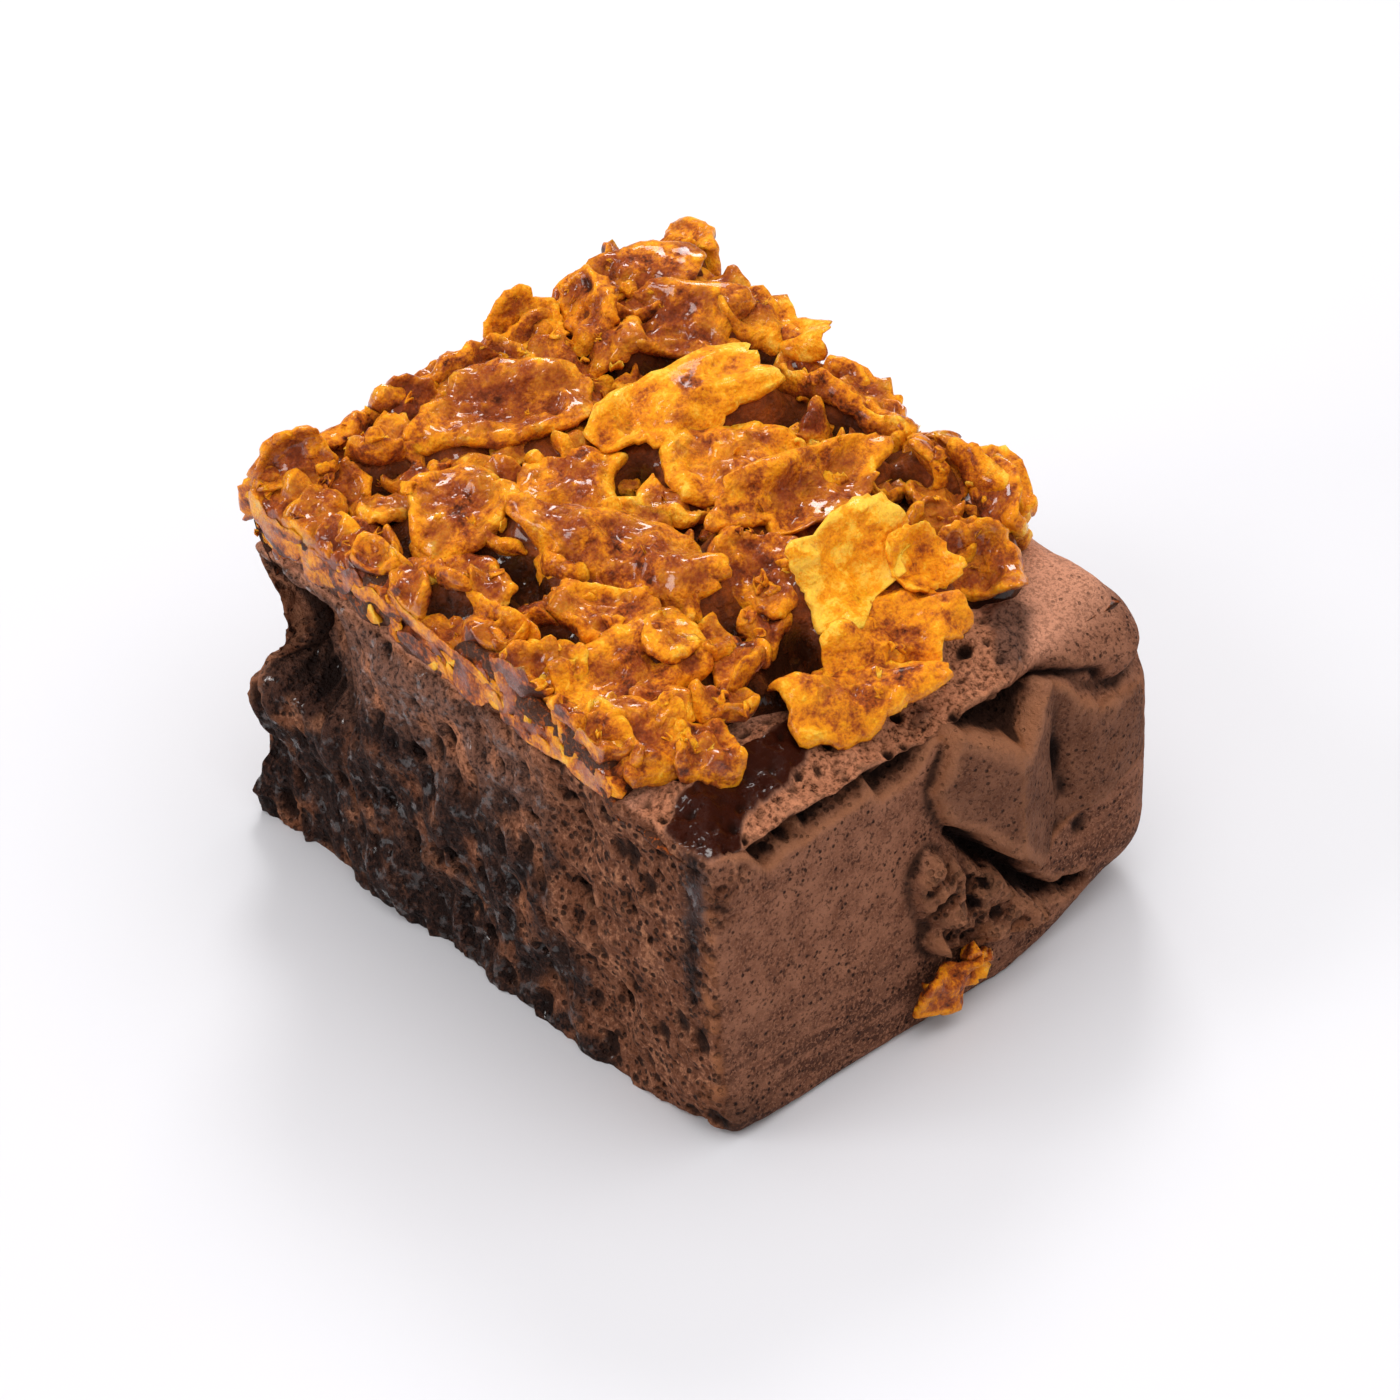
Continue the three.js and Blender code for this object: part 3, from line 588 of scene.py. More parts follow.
def cutForm(y, z):
    # How far the left cut face stands out
    forms = spot(y, z, [(fy, fz, r, r, out) for fy, fz, r, out in cut["forms"]])
    torn = waist["depth"] * blend(12, 30, y) * waistAt(y, z)
    crumbLumps = 0.7 * lumps(1, y, z, 5, 21) + 0.35 * lumps(2, y, z, 2.4, 22)
    dryEdge = np.interp(z, *zip(*cut["dryEdge"])) + 1.5 * lumps(3, y, z, 3, 321)
    dry = 1 - blend(-1.2, 1.2, y - dryEdge)
    across = y * (1 - cut["slant"]) - z * cut["slant"]
    along = y * cut["slant"] + z * (1 - cut["slant"])
    smear = grain(across / 0.9, along / 2.6, 0, 1.2, 322)
    pocks = domes(across, along / 1.6, 2.3, 323, 0.55, 0.15, 0.42) * (1.9 - 0.3 * dry)
    small = domes(y, z, 1.0, 324, 0.5, 0.15, 0.42) * (0.25 + 0.55 * dry)
    holes = spot(y, z, cut["holes"])
    sharpHoles = blend(0.25, 0.8, holes) * holes
    shift = forms - torn + crumbLumps * blend(-33, -24, y)
    crumbGrain = grain(4, y, z, 1.5, 325)
    shift = shift + 0.75 * (1 - dry) * smear + dry * 0.45 * crumbGrain - pocks - small - 1.4 * sharpHoles
    drip = bell(y + 30.0 + 0.08 * (z - 20), 0.7 + 0.6 * blend(14, 26, z)) * blend(12, 18, z)
    patches = 0.6 * lumps(6, y, z, 3.4, 327) + 0.6 * lumps(7, across, along, 1.5, 328)
    wet = (1 - dry) * blend(-0.55, 0.1, 0.5 * smear + patches) + drip
    blobs = spot(y, z, cut["blobs"])
    # Holes, pocks and pores are painted dark as the shade inside them
    pit = blend(0.3, 0.9, sharpHoles) + blend(0.15, 0.5, pocks) * 0.85 + blend(0.2, 0.42, small) * 0.5 * dry
    syrup = drip * blend(23, 29, z) * blend(-0.5, 0.3, lumps(11, y, z, 2.2, 348))
    crumb = np.ones(np.shape(y))
    edge = blend(0.25, 0.8, lumps(5, y, z, 1.8, 326)) * 0.35 * (1 - 0.6 * dry)
    corner = bell(y + 32.3 + 0.6 * lumps(9, y, z, 1.6, 344), 0.8) * blend(2, 7, z)
    edge = edge + corner * blend(-0.3, 0.4, lumps(10, y, z, 1.3, 345))
    # Upper far part of the cut face: lighter crumb, and a painted sheen on its moist smear
    bright = blend(19, 27, z + 5 * lumps(8, y, z, 5, 329)) * blend(-14, -4, y) * 0.9
    return shift, {"crumb": crumb, "wet": wet + blobs, "pit": pit, "edge": edge * (1 - pit), "syrup": syrup,
                   "bright": bright}


def backForm(x, z):
    torn = waist["backDepth"] * blend(-16, -28, x) * waistAt(x, z)
    forms = 1.1 * lumps(x, 9, z, 6, 51) + 0.5 * lumps(x, 9, z, 2.6, 52) - 0.5 - torn
    pocks = domes(x, z, 2.2, 331, 0.5, 0.15, 0.4) * 1.5
    small = domes(x, z, 1.0, 332, 0.5, 0.15, 0.42) * 0.7
    forms = forms + 0.28 * grain(x, 10, z, 1.3, 333) - pocks - small
    # Pocks and pores are painted dark as the shade inside them
    pit = blend(0.2, 0.8, pocks) + blend(0.15, 0.4, small) * 0.5
    wet = blend(0.1, 0.8, lumps(x, 11, z, 8, 334)) * 0.6
    edge = blend(0.3, 0.8, lumps(x, 12, z, 1.8, 335)) * 0.3
    return forms, {"crumb": np.ones(np.shape(x)), "wet": wet, "pit": pit, "edge": edge * (1 - pit)}


def rightForm(y, z):
    forms = 0.5 * lumps(4, y, z, 9, 61) + 0.15 * grain(5, y, z, 2.4, 342, 4)
    return forms, {"crumb": np.zeros(np.shape(y))}


bareTop = {  # soft spots on the bare strip of top crust: x, y, radius along x, radius along y, strength
    "syrup": [(-20, -27.5, 6, 2.8, 1.4), (-26.5, -30, 3, 3.4, 1.4), (-10, -26, 6, 1.8, 1.2)],
    "moist": [(15.5, -27.5, 3.0, 3.2, 1.0), (12, -30.6, 2.6, 1.6, 0.7), (1, -30.4, 1.6, 1.4, 0.7)],
}


def topForm(x, y):
    bare = np.maximum(1 - blend(-28, -25, y), blend(24, 27, x))
    strip = (1 - blend(12, 17, x)) * (1 - blend(-24, -21, y))
    pocks = domes(x, y, 2.2, 351, 0.35, 0.12, 0.38) * strip * 2.0
    forms = bare * (-0.6 + 0.6 * lumps(x, y, 5, 4, 31)) + strip * 0.95 * grain(x, y, 1, 1.7, 352) - pocks
    forms = forms + (1 - strip) * 0.2 * grain(x, y, 2, 2.6, 353, 4)
    pool = blend(0.45, 0.6, spot(x, y, bareTop["syrup"]) + 0.2 * lumps(x, y, 3, 2.5, 354))
    moist = blend(0.3, 0.7, spot(x, y, bareTop["moist"]) + 0.3 * lumps(x, y, 6, 1.8, 355))
    # Pocks are painted dark as the shade inside them, except under the syrup pool
    pit = blend(0.15, 0.6, pocks) * (1 - pool)
    crumb = strip * (1 - pool)
    forms = forms + 0.35 * pool + moist * (0.3 + 0.5 * lumps(x, y, 7, 1.4, 356))
    bright = np.full(np.shape(x), 0.8)
    return forms, {"crumb": crumb, "wet": moist, "pit": pit, "syrup": pool, "bright": bright}


def cakeSurface(p):
    # Moves points of the plain box, which has its middle at x 0, on to the cake
    px, py, pz = p.T
    around = blend(5, 26, px) * (1 - blend(24, 32, py))
    top = 1 + 7 * around
    nearCorner = blend(-20, -29, px) * blend(-20, -31, py)
    foot = 1 + 0.6 * blend(-26, -32, py) + 7 * around + 1.6 * nearCorner
    inset = np.minimum(half[0] - abs(px), half[1] - abs(py))
    upper = pz > half[2]
    radius = np.where(upper, top, foot)
    depth = np.where(upper, cake["rim"] - pz, pz + cake["baseTrim"])
    out = (depth > 1e-6).astype(float)
    rounded = (inset < radius) & (depth < radius)
    a = np.where(rounded, radius - inset, 1)
    b = np.where(rounded, radius - depth, 1)
    scale = np.maximum(a, b) / np.hypot(a, b)
    newInset = np.where(rounded, radius - a * scale, inset)
    newDepth = np.where(rounded, radius - b * scale, depth)
    out = np.where(rounded, a * scale / radius, out)
    moved = newInset != inset
    x = np.where(moved, px * (half[0] - newInset) / np.where(moved, half[0] - inset, 1), px)
    y = np.where(moved, py * (half[1] - newInset) / np.where(moved, half[1] - inset, 1), py)
    z = np.where(upper, cake["rim"] - newDepth, newDepth - cake["baseTrim"])
    footRound = cake["footRound"] * (1 - blend(0, 10, z)) * (y < 0)
    corner = np.where((x > 0) & (y < 0), cake["trayCorner"], cake["cutCorner"] + footRound)
    dx = abs(x) - (half[0] - corner)
    dy = abs(y) - (half[1] - corner)
    turned = (dx > 0) & (dy > 0)
    reach = np.where(turned, np.hypot(dx, dy), 1)
    shrink = np.where(turned, np.maximum(dx, dy) / reach, 1)
    side = half[0] - abs(x) < half[1] - abs(y)
    faceX = np.where(turned, np.sign(x) * dx / reach, np.where(side, np.sign(x), 0))
    faceY = np.where(turned, np.sign(y) * dy / reach, np.where(side, 0, np.sign(y)))
    x = np.where(turned, np.sign(x) * (half[0] - corner + dx * shrink), x)
    y = np.where(turned, np.sign(y) * (half[1] - corner + dy * shrink), y)
    up = np.sqrt(np.clip(1 - out * out, 0, 1)) * np.where(upper, 1, -1)
    normal = np.stack([faceX * out, faceY * out, up], 1)
    low = 1 - z / cake["rim"]
    point = np.stack([
        x + middle - cake["tuck"] * low * np.maximum(0, x / half[0]) ** 2,
        y - cake["lean"] * low * np.maximum(0, -y / half[1]) ** 2,
        z], 1)
    x = x + middle
    topShift, topMarks = topForm(x, y)
    onTop = np.where(upper, blend(0.6, 1, up), 0)
    point[:, 2] += np.where(upper, (cake["crown"] * blend(0.5, 6, newInset) + topShift), 0) * onTop
    sides = (-normal[:, 1], -normal[:, 0], normal[:, 1], normal[:, 0])
    onNear, onLeft, onFar, onRight = (blend(0.35, 0.85, facing) for facing in sides)
    faces = [(onNear, *crustForm(x, z)), (onLeft, *cutForm(y, z)), (onFar, *backForm(x, z)),
             (onRight * (1 - onNear), *rightForm(y, z))]
    shift = sum(weight * form for weight, form, _ in faces)
    names = ("crumb", "wet", "pit", "edge", "syrup", "bright")
    marks = {}
    for name in names:
        marks[name] = onTop * topMarks.get(name, 0) + sum(w * m.get(name, 0) for w, _, m in faces)
    point += normal * shift[:, None]
    point[:, 2] = np.maximum(point[:, 2], 0)
    return point, {name: np.clip(v, 0, 1) for name, v in marks.items()}, shift + topShift * onTop


def makeCake():
    cells, coarse = cake["cells"], cake["coarse"]
    nx, ny, nz = cells
    number = np.full((nx + 1, ny + 1, nz + 1), -1, np.int32)
    fineX = (4, nx - 40)  # the coarse facets of the top lie inside these, those of the base two facets in
    fineY = (44, ny - 8)
    used = np.zeros(number.shape, bool)
    used[[0, -1], :, :] = used[:, [0, -1], :] = used[:, :, [0, -1]] = True
    patches = [(0, (4, nx - 4), (4, ny - 4)), (nz, fineX, fineY)]
    for k, (x0, x1), (y0, y1) in patches:
        kept = used[x0:x1 + 1, y0:y1 + 1, k].copy()
        kept[1:-1, 1:-1] = False
        kept[::coarse, ::coarse] = True
        used[x0:x1 + 1, y0:y1 + 1, k] = kept
    number[used] = np.arange(used.sum())
    lattice = np.argwhere(used)

    sides = ((number[0], True), (number[-1], False), (number[:, 0], False), (number[:, -1], True))
    rings = [gridFacets(grid, flip) for grid, flip in sides]
    rings = [made[(made >= 0).all(1)] for made in rings]
    for k, (x0, x1), (y0, y1) in patches:
        sheet = number[:, :, k].copy()
        mask = np.zeros(sheet.shape, bool)
        mask[x0:x1, y0:y1] = True  # facets inside the patch are made coarse
        outside = ~mask[:-1, :-1].ravel()
        rings.append(gridFacets(sheet, k == 0)[outside])
        for i in range(x0, x1, coarse):
            for j in range(y0, y1, coarse):
                south = [(i + s, j) for s in range(coarse)] if j == y0 else [(i, j)]
                east = [(i + coarse, j + s) for s in range(coarse)]
                east = east if i + coarse == x1 else east[:1]
                north = [(i + coarse - s, j + coarse) for s in range(coarse)]
                north = north if j + coarse == y1 else north[:1]
                west = [(i, j + coarse - s) for s in range(coarse)] if i == x0 else [(i, j + coarse)]
                loop = [sheet[spotAt] for spotAt in south + east + north + west]
                rings.append(np.array([loop if k else loop[::-1]]))
    t = lattice / np.array(cells) * 2 - 1
    t = (0.6 * t + 0.4 * np.sin(t * math.pi / 2) + 1) / 2
    low = np.array([-half[0], -half[1], -cake["baseTrim"]])
    high = np.array([half[0], half[1], cake["rim"]])
    points, marks, shift = cakeSurface(low + (high - low) * t)
    # How far each point lies below its neighbourhood, for painted shade in the hollows and a painted
    # highlight on the crests
    hollow = np.zeros(len(points))
    for grid in (number[0], number[-1], number[:, 0], number[:, -1], number[:, :, -1]):
        known = grid >= 0
        level = np.where(known, shift[grid], 0)
        hollow[grid[known]] = (softened(level, 26) - level)[known]
    marks["hollow"] = hollow
    makePiece("brownie_cake", points, rings, chocolateFinish(), ["brownie"], marks)


makeCake()


# The topping: plates of cornflake in caramel

heap = {
    "cutFace": -29.6, "back": 33.6, "low": 37.3, "rise": 3.7, "peak": 3.6, "press": 0.6,
    "top": 47.9,
    "sides": 64, "rings": 15,  # facets round a flake and from its middle to its rim
    "plate": 1.2, "coated": 1.6,  # a flake's thickness, and what a full coat of caramel adds
    "cutShade": 0.34,  # how much darker flakes are at the cut face
}
# Tip to tip, then width, roll in degrees, how much the sides curl, tone from burnt 0 to pale 1 and glaze
flakes = [
    (-29.3, 31.2, 42, -20.4, 28.4, 43.5, 6, 35, 1.8, 0.42, 0.8),
    (-26.4, 28.7, 40, -20.2, 24.1, 40, 6, 20, 1.5, 0.45, 0.8),
    (-19.4, 29.1, 42, -14.5, 23.5, 42, 7, -20, 2, 0.48, 0.7),
    (-29.4, 32.5, 39, -26, 24, 40, 8, 15, -1, 0.5, 0.8),
    (-27.4, 24, 39.5, -27.6, 12.5, 38, 8, 20, -1.4, 0.3, 0.9),
    (-23.2, 17.4, 41.5, -12.5, 10, 43, 10, 10, -1, 0.45, 0.8),
    (-19.7, 21.2, 40, -12.5, 22.6, 42, 7, 0, 1, 0.42, 0.8),
    (-13, 27, 43.5, 2.4, 16.3, 44, 9, 10, 1, 0.42, 0.9),
    (-14.5, 31.5, 42, -7, 28, 43, 6, 25, 1, 0.28, 1.0),
    (-11, 15, 42, -3.6, 4, 42, 11, 5, -1, 0.5, 0.6),
    (0.5, 32.3, 42, 11, 31.5, 44, 6, 30, 1, 0.52, 0.6),
    (13.4, 32, 45.2, 9.5, 23.5, 42.0, 8, 35, -1, 0.44, 0.6),
    (15.4, 32.6, 45.2, 22.8, 23, 44.8, 8, 35, -1.5, 0.36, 0.9),
    (23, 32, 44.8, 27.5, 25, 44.4, 7, 15, -1, 0.46, 0.7),
    (12.5, 27, 44.5, 21.5, 14, 43.5, 8.5, 25, 1.4, 0.38, 1.0),
    (23.4, 22.5, 43.5, 22.4, 11.5, 42, 7, -15, 1, 0.5, 0.8),
    (27, 14, 44, 24.3, 9.5, 38.5, 8, 70, -1, 0.58, 0.5),
    (-3, 11.5, 44, 18, 8.4, 46, 9, 15, -1, 0.66, 0.35),
    (19.6, 11, 43, 23.2, -6.6, 41, 6, -30, 1.5, 0.5, 0.7),
    (-0.5, 5.6, 42.3, 14.4, -3.7, 42.2, 12, 7, -1.2, 0.52, 0.6),
    (-5, -5, 43.2, 20.3, -8, 42.6, 7, 25, 1, 0.42, 0.8),
    (24.3, -9, 42, 26, -22, 38.8, 6, -35, 1.6, 0.5, 0.6),
    (22.2, -6.5, 42, 18.3, -12.6, 41, 5, 55, 0.6, 0.48, 0.8),
    (25, -7, 41, 22, -13, 41, 5, 60, 0.6, 0.48, 0.8),
    (12.5, -16.3, 41, 18.6, -17.4, 41, 5, 40, 0.6, 0.5, 0.8),
    (16.4, -16, 39, 16.1, -22, 38, 6, 15, -1, 0.5, 0.7),
    (11.5, -19.4, 38, 20.2, -25.2, 39.5, 8, 25, 2.4, 0.5, 0.7),
    (-4.6, -18.2, 40.2, 11, -17.4, 46.4, 8.6, 32, 0.8, 0.82, 0.2),
    (5.5, -21.4, 41, 12.2, -21.2, 43, 7, 25, 0.6, 0.66, 0.25),
    (-6, -20.6, 37.9, 11.4, -27.4, 38.9, 10, 14, -1.4, 0.55, 0.3),
    (-12.5, -22.4, 36.9, 2.6, -31.4, 36.4, 8, 6, -1.0, 0.46, 0.4),
    (-4.4, -6.6, 41, -1, -17, 40, 9, 10, 1, 0.4, 0.9),
    (-17, 9, 43.5, -6.4, -14.4, 41.5, 9, 15, -1.2, 0.46, 0.8),
    (-21, -2, 41, -14, -11, 40, 6, 5, 0.8, 0.45, 0.8),
    (-26, -5, 39.5, -22, -9.8, 39.5, 5, 0, -1.4, 0.5, 0.7),
    (-27, 10.5, 40, -26.8, -7, 38.5, 8, 25, 1.6, 0.5, 0.7),
    (-27.6, -10.6, 39, -11.6, -14.8, 41, 10, 20, -1, 0.43, 0.7),
    (-29, -17.4, 37.6, -19.4, -21.5, 38, 8, 20, -1, 0.42, 0.8),
    (-24.2, -22.2, 37, -16.7, -25.3, 36.8, 6, 15, -0.6, 0.38, 0.8),
    (-19, -19, 38, -12.8, -21.8, 37, 5, 0, -0.8, 0.42, 0.9),
    (-27.4, -4, 37, -28.4, -17, 36.6, 6, 60, 0.8, 0.4, 0.8),
    (-6.4, -13.2, 38, -4.4, -18.4, 38, 5, 0, -1, 0.4, 0.9),
]
filler = {
    "step": 5.4, "clear": 3.1, "shortest": 5.0, "longest": 9.5, "sink": 1.5, "seed": 41,
    "sides": 40, "rings": 10, "plate": 1.9, "glaze": 0.85,
}
rimFlakes = {"step": 7.5, "height": 38.6, "length": 10.0, "width": 7.0, "drop": 1.6, "glaze": 0.8}
looks = {
    "jag": 0.17, "wrinkle": 0.34, "blister": 1.1, "crumple": 1.2, "crease": 0.78, "cup": 0.8, "wave": 1.0,
    "bead": 0.5, "blunt": 0.82, "curl": 1.3, "puff": 0.5, "long": 0.9, "wide": 1.14,
    "tilt": 1.25,
}


def nearEdge(x):
    return -20.8 - 5 * blend(-16, -4, x) + 2.5 * blend(18, 26, x)


def rightEdge(y):
    return 23.5 + 2.6 * blend(-10, 28, y)


def coreTop(x, y):
    behind = heap["rise"] * blend(-30, 2, y)
    corner = heap["peak"] * np.exp(-((x - 19) ** 2 + (y - 26) ** 2) / 170)
    right = 0.8 * blend(16, 26, x) * (1 - blend(5, 20, y))
    return heap["low"] + behind + corner - right + 0.8 * lumps(x, y, 2, 5, 71)


def flakePlate(start, end, width, roll, curl, seed, tone, glaze, sides, rings, plate, fine=1.0):
    # A flattened ball with an uneven outline, curled, bent and blistered: points, quads, tips and marks
    start, end = np.array(start, float), np.array(end, float)
    run = end - start
    length = np.linalg.norm(run)
    along = run / length
    side = np.array([-along[1], along[0], 0.0])
    side /= np.linalg.norm(side)
    turn = math.radians(roll * looks["tilt"])
    side = side * math.cos(turn) + np.cross(along, side) * math.sin(turn)
    up = np.cross(along, side)
    inner = np.linspace(0, 1, rings + 1)[1:] ** 0.9 * 0.93
    radii = np.concatenate([inner, [0.965, 0.99, 1.0], [0.99, 0.955], inner[::-2] * 0.97])
    above = np.concatenate([np.ones(rings), [1, 1, 0], [-1, -1], -np.ones(len(inner[::-2]))])
    angle = np.linspace(0, 2 * math.pi, sides, endpoint=False)
    r, a = np.meshgrid(radii, angle, indexing="ij")
    face = np.repeat(above[:, None], sides, 1)
    def rimLumps(size, number):
        return lumps(np.cos(a), np.sin(a), seed, size, number)

    reach = 0.94 + sum(0.22 / k * np.cos(k * a + 2 * math.pi * cell(seed, k, 1, 3)) for k in range(2, 6))
    ragged = rimLumps(0.28, 401) + 0.7 * rimLumps(0.11, 402)
    dry = 1 - 0.7 * glaze
    notch = 2 * math.pi * cell(seed, 11, 1, 3)
    bite = 0.34 * cell(seed, 12, 1, 3) * bell(np.angle(np.exp(1j * (a - notch))), 0.16)
    lobes = rimLumps(0.6, 409)
    reach = reach * (1 + (looks["jag"] * ragged * dry + 0.12 * lobes) * r**2) - bite * dry * r**3
    square = looks["blunt"]  # under 1 makes the oval blunter
    ca = np.sign(np.cos(a)) * abs(np.cos(a)) ** square * r * reach
    cb = np.sign(np.sin(a)) * abs(np.sin(a)) ** square * r * reach
    u, v = ca * length / 2 * looks["long"], cb * width / 2 * looks["wide"]
    bend = 1.2 * (cell(seed, 9, 1, 3) - 0.5)
    lift = looks["curl"] * curl * (cb * cb - 0.35) + bend * (ca * ca - 0.35)
    lift = lift + 0.7 * lumps(ca, cb, seed, 0.7, 4)
    cup = looks["cup"] * (2 * cell(seed, 13, 1, 3) - 0.7)
    wave = rimLumps(0.55, 410)
    lift = lift + fine * r**3 * (cup + looks["wave"] * wave)
    lift = lift + fine * looks["crumple"] * (0.8 + 0.5 * dry) * lumps(u, v, seed, 4.6, 403)
    lift = lift + fine * looks["crease"] * lumps(u, v, seed, 2.3, 408)
    ridges = 1 - 2 * abs(lumps(u, v, seed, 1.7, 404))
    lift = lift + fine * looks["wrinkle"] * ridges + fine * 0.14 * lumps(u, v, seed, 0.75, 405)
    blister = domes(u + 40, v + 40, 2.4, seed + 500, 0.55, 0.2, 0.48)
    lift = lift + fine * looks["blister"] * blister * np.where(face > 0, 1, 0.6)
    shell = np.sqrt(np.clip(1 - r**2, 0, 1)) ** (0.4 + 0.35 * glaze)
    bead = 1 + looks["bead"] * glaze * bell(r - 0.86, 0.16)
    swelling = lumps(u, v, seed, 2.6, 411) + 0.5 * lumps(u, v, seed, 1.2, 412)
    puff = 1 + looks["puff"] * fine * glaze * swelling
    thick = plate / 2 * np.sign(face) * np.where(face == 0, 0, shell) * bead * puff
    base = (start + end) / 2
    points = base + along * u[..., None] - side * v[..., None] + up * (lift + thick)[..., None]
    blotch = lumps(u, v, seed, 3.2, 406)
    # Blister tops and ridges are painted lighter as painted highlights, and the underside darker as painted
    # shade; the glazed middle is darker caramel
    toneAndShading = tone + 0.14 * blotch + 0.3 * (blister - 0.15) + 0.10 * (ridges - 0.4)
    toneAndShading = toneAndShading - 0.16 * glaze * (1 - blend(0.3, 0.8, r)) - 0.25 * (face < 0)
    glazeMark = np.clip(glaze + 0.35 * lumps(u, v, seed, 2.4, 407), 0, 1)
    marks = {"tone": toneAndShading, "glaze": glazeMark, "rim": blend(0.6, 0.95, r)}
    tips = [base + up * (lift[0].mean() + plate / 2), base + up * (lift[-1].mean() - plate / 2)]
    count = len(radii)
    ids = np.arange(count * sides).reshape(count, sides)
    nextIds = np.roll(ids, -1, axis=1)
    quads = np.stack([ids[:-1], ids[1:], nextIds[1:], nextIds[:-1]], -1).reshape(-1, 4)
    first, last = count * sides, count * sides + 1
    fans = np.concatenate([
        np.stack([np.full(sides, first), ids[0], nextIds[0]], 1),
        np.stack([np.full(sides, last), nextIds[-1], ids[-1]], 1)])
    points = np.concatenate([points.reshape(-1, 3), np.array(tips)])
    marks = {k: np.concatenate([m.ravel(), [m[0].mean(), m[-1].mean()]]) for k, m in marks.items()}
    return points, quads, fans, marks


def ruledFlakes():
    made = []
    middles = [((f[0] + f[3]) / 2, (f[1] + f[4]) / 2) for f in flakes]
    seed = filler["seed"]
    for y in np.arange(-24, 33, filler["step"]):
        for x in np.arange(-27.5, 26, filler["step"]):
            seed += 1
            mx = x + 3 * (cell(seed, 1, 1, 3) - 0.5)
            my = y + 3 * (cell(seed, 1, 2, 3) - 0.5)
            clear = all(math.hypot(fx - mx, fy - my) > filler["clear"] for fx, fy in middles)
            if not clear or mx > rightEdge(my) or my < nearEdge(mx) + 2:
                continue
            heading = math.pi * cell(seed, 1, 3, 3)
            reach = filler["shortest"] + (filler["longest"] - filler["shortest"]) * cell(seed, 1, 4, 3)
            reach = reach / 2
            tip = (math.cos(heading) * reach, math.sin(heading) * reach)
            z = float(coreTop(mx, my)) + 1.2 - filler["sink"]
            pitch = 2 * (cell(seed, 1, 5, 3) - 0.5)
            made.append(((mx - tip[0], my - tip[1], z - pitch), (mx + tip[0], my + tip[1], z + pitch),
                         reach * (1.2 + 0.5 * cell(seed, 1, 6, 3)), 60 * (cell(seed, 1, 7, 3) - 0.5),
                         3 * (cell(seed, 1, 8, 3) - 0.5), seed, 0.32 + 0.25 * cell(seed, 1, 9, 3),
                         filler["glaze"]))

    def rim(x, y, alongX, inward=1):
        nonlocal seed
        seed += 1
        z = rimFlakes["height"] + 3 * (cell(seed, 2, 1, 3) - 0.5) + 1.5 * blend(-10, 25, y)
        z = z - rimFlakes["drop"] * (inward < 0)
        reach = rimFlakes["length"] / 2 * (0.8 + 0.4 * cell(seed, 2, 2, 3))
        drop = 2 * (cell(seed, 2, 3, 3) - 0.5)
        tip = (reach, 0) if alongX else (0, reach)
        roll = (-1 if alongX else inward) * (50 + 25 * cell(seed, 2, 4, 3))
        made.append(((x - tip[0], y - tip[1], z - drop), (x + tip[0], y + tip[1], z + drop),
                     rimFlakes["width"], roll, 1.5 * (cell(seed, 2, 5, 3) - 0.3), seed,
                     0.35 + 0.25 * cell(seed, 2, 6, 3), rimFlakes["glaze"]))

    for x in np.arange(-25, 26, rimFlakes["step"]):
        rim(x, heap["back"] - 1.8, True)
    for y in np.arange(-18, 30, rimFlakes["step"]):
        rim(rightEdge(y) - 0.4, y, False)
    for y in np.arange(-17, 31, rimFlakes["step"]):
        rim(heap["cutFace"] + 1.5, y, False, -0.45)
    return made


def joined(parts):
    points, quads, fans, marks, base = [], [], [], {}, 0
    for p, q, f, m in parts:
        points.append(p)
        quads.append(q + base)
        fans.append(f + base)
        for key, value in m.items():
            marks.setdefault(key, []).append(value)
        base += len(p)
    marks = {key: np.concatenate(value) for key, value in marks.items()}
    return np.concatenate(points), [np.concatenate(quads), np.concatenate(fans)], marks


def held(value, limit, side, soft):  # values past a limit are pressed together just inside it
    depth = side * (value - limit)
    return limit + side * np.where(depth < soft, soft * np.exp(np.minimum(depth / soft - 1, 0)), depth)


def insideHeap(points):
    press = heap["press"]
    limits = ((0, heap["cutFace"], 1, press), (1, heap["back"], -1, press),
              (2, cake["rim"] + 0.2, 1, press), (2, heap["top"], -1, 3 * press))
    for axis, *limit in limits:
        points[:, axis] = held(points[:, axis], *limit)
    return points


def makeFlakes():
    finish = flakeFinish()
    heroes = []
    for n, (ax, ay, az, bx, by, bz, width, roll, curl, tone, glaze) in enumerate(flakes):
        plate = heap["plate"] + heap["coated"] * glaze
        heroes.append(flakePlate((ax, ay, az), (bx, by, bz), width, roll, curl, n + 1, tone, glaze,
                                 heap["sides"], heap["rings"], plate))
    fineness = (filler["sides"], filler["rings"], filler["plate"])
    between = [flakePlate(*given, *fineness) for given in ruledFlakes()]
    pieces, glaze = [], []
    for name, group in (("cornflakes_showing", heroes), ("cornflakes_between", between)):
        points, rings, marks = joined(group)
        points = insideHeap(points)
        onCut = 1 - blend(0.4, 2.0, points[:, 0] - heap["cutFace"] + 0.7 * lumps(*points.T, 2.5, 417))
        patches = blend(-0.6, 0.2, lumps(*points.T, 3.2, 418))
        marks["tone"] = marks["tone"] - heap["cutShade"] * onCut * patches
        pieces.append(points)
        glaze.append(marks["glaze"])
        makePiece(name, points, rings, finish, ["cornflake_topping"], marks)
    makeBits(np.concatenate(pieces), np.concatenate(glaze), finish)
    return np.concatenate(pieces)


bits = {
    "count": 420, "smallest": 0.5, "largest": 2.4,
    "onCut": 90, "larger": 1.5,  # more of them along the cut edge, and larger there
    "cutLow": (-29.5, -20, 33.8), "cutHigh": (-28.2, 32, 37.5), "darkest": 0.35, "palest": 0.72,
    "curl": 0.3, "glaze": 0.4, "sides": 12, "rings": 4, "plate": 0.55, "fine": 0.12,
    "seed": 900,
}


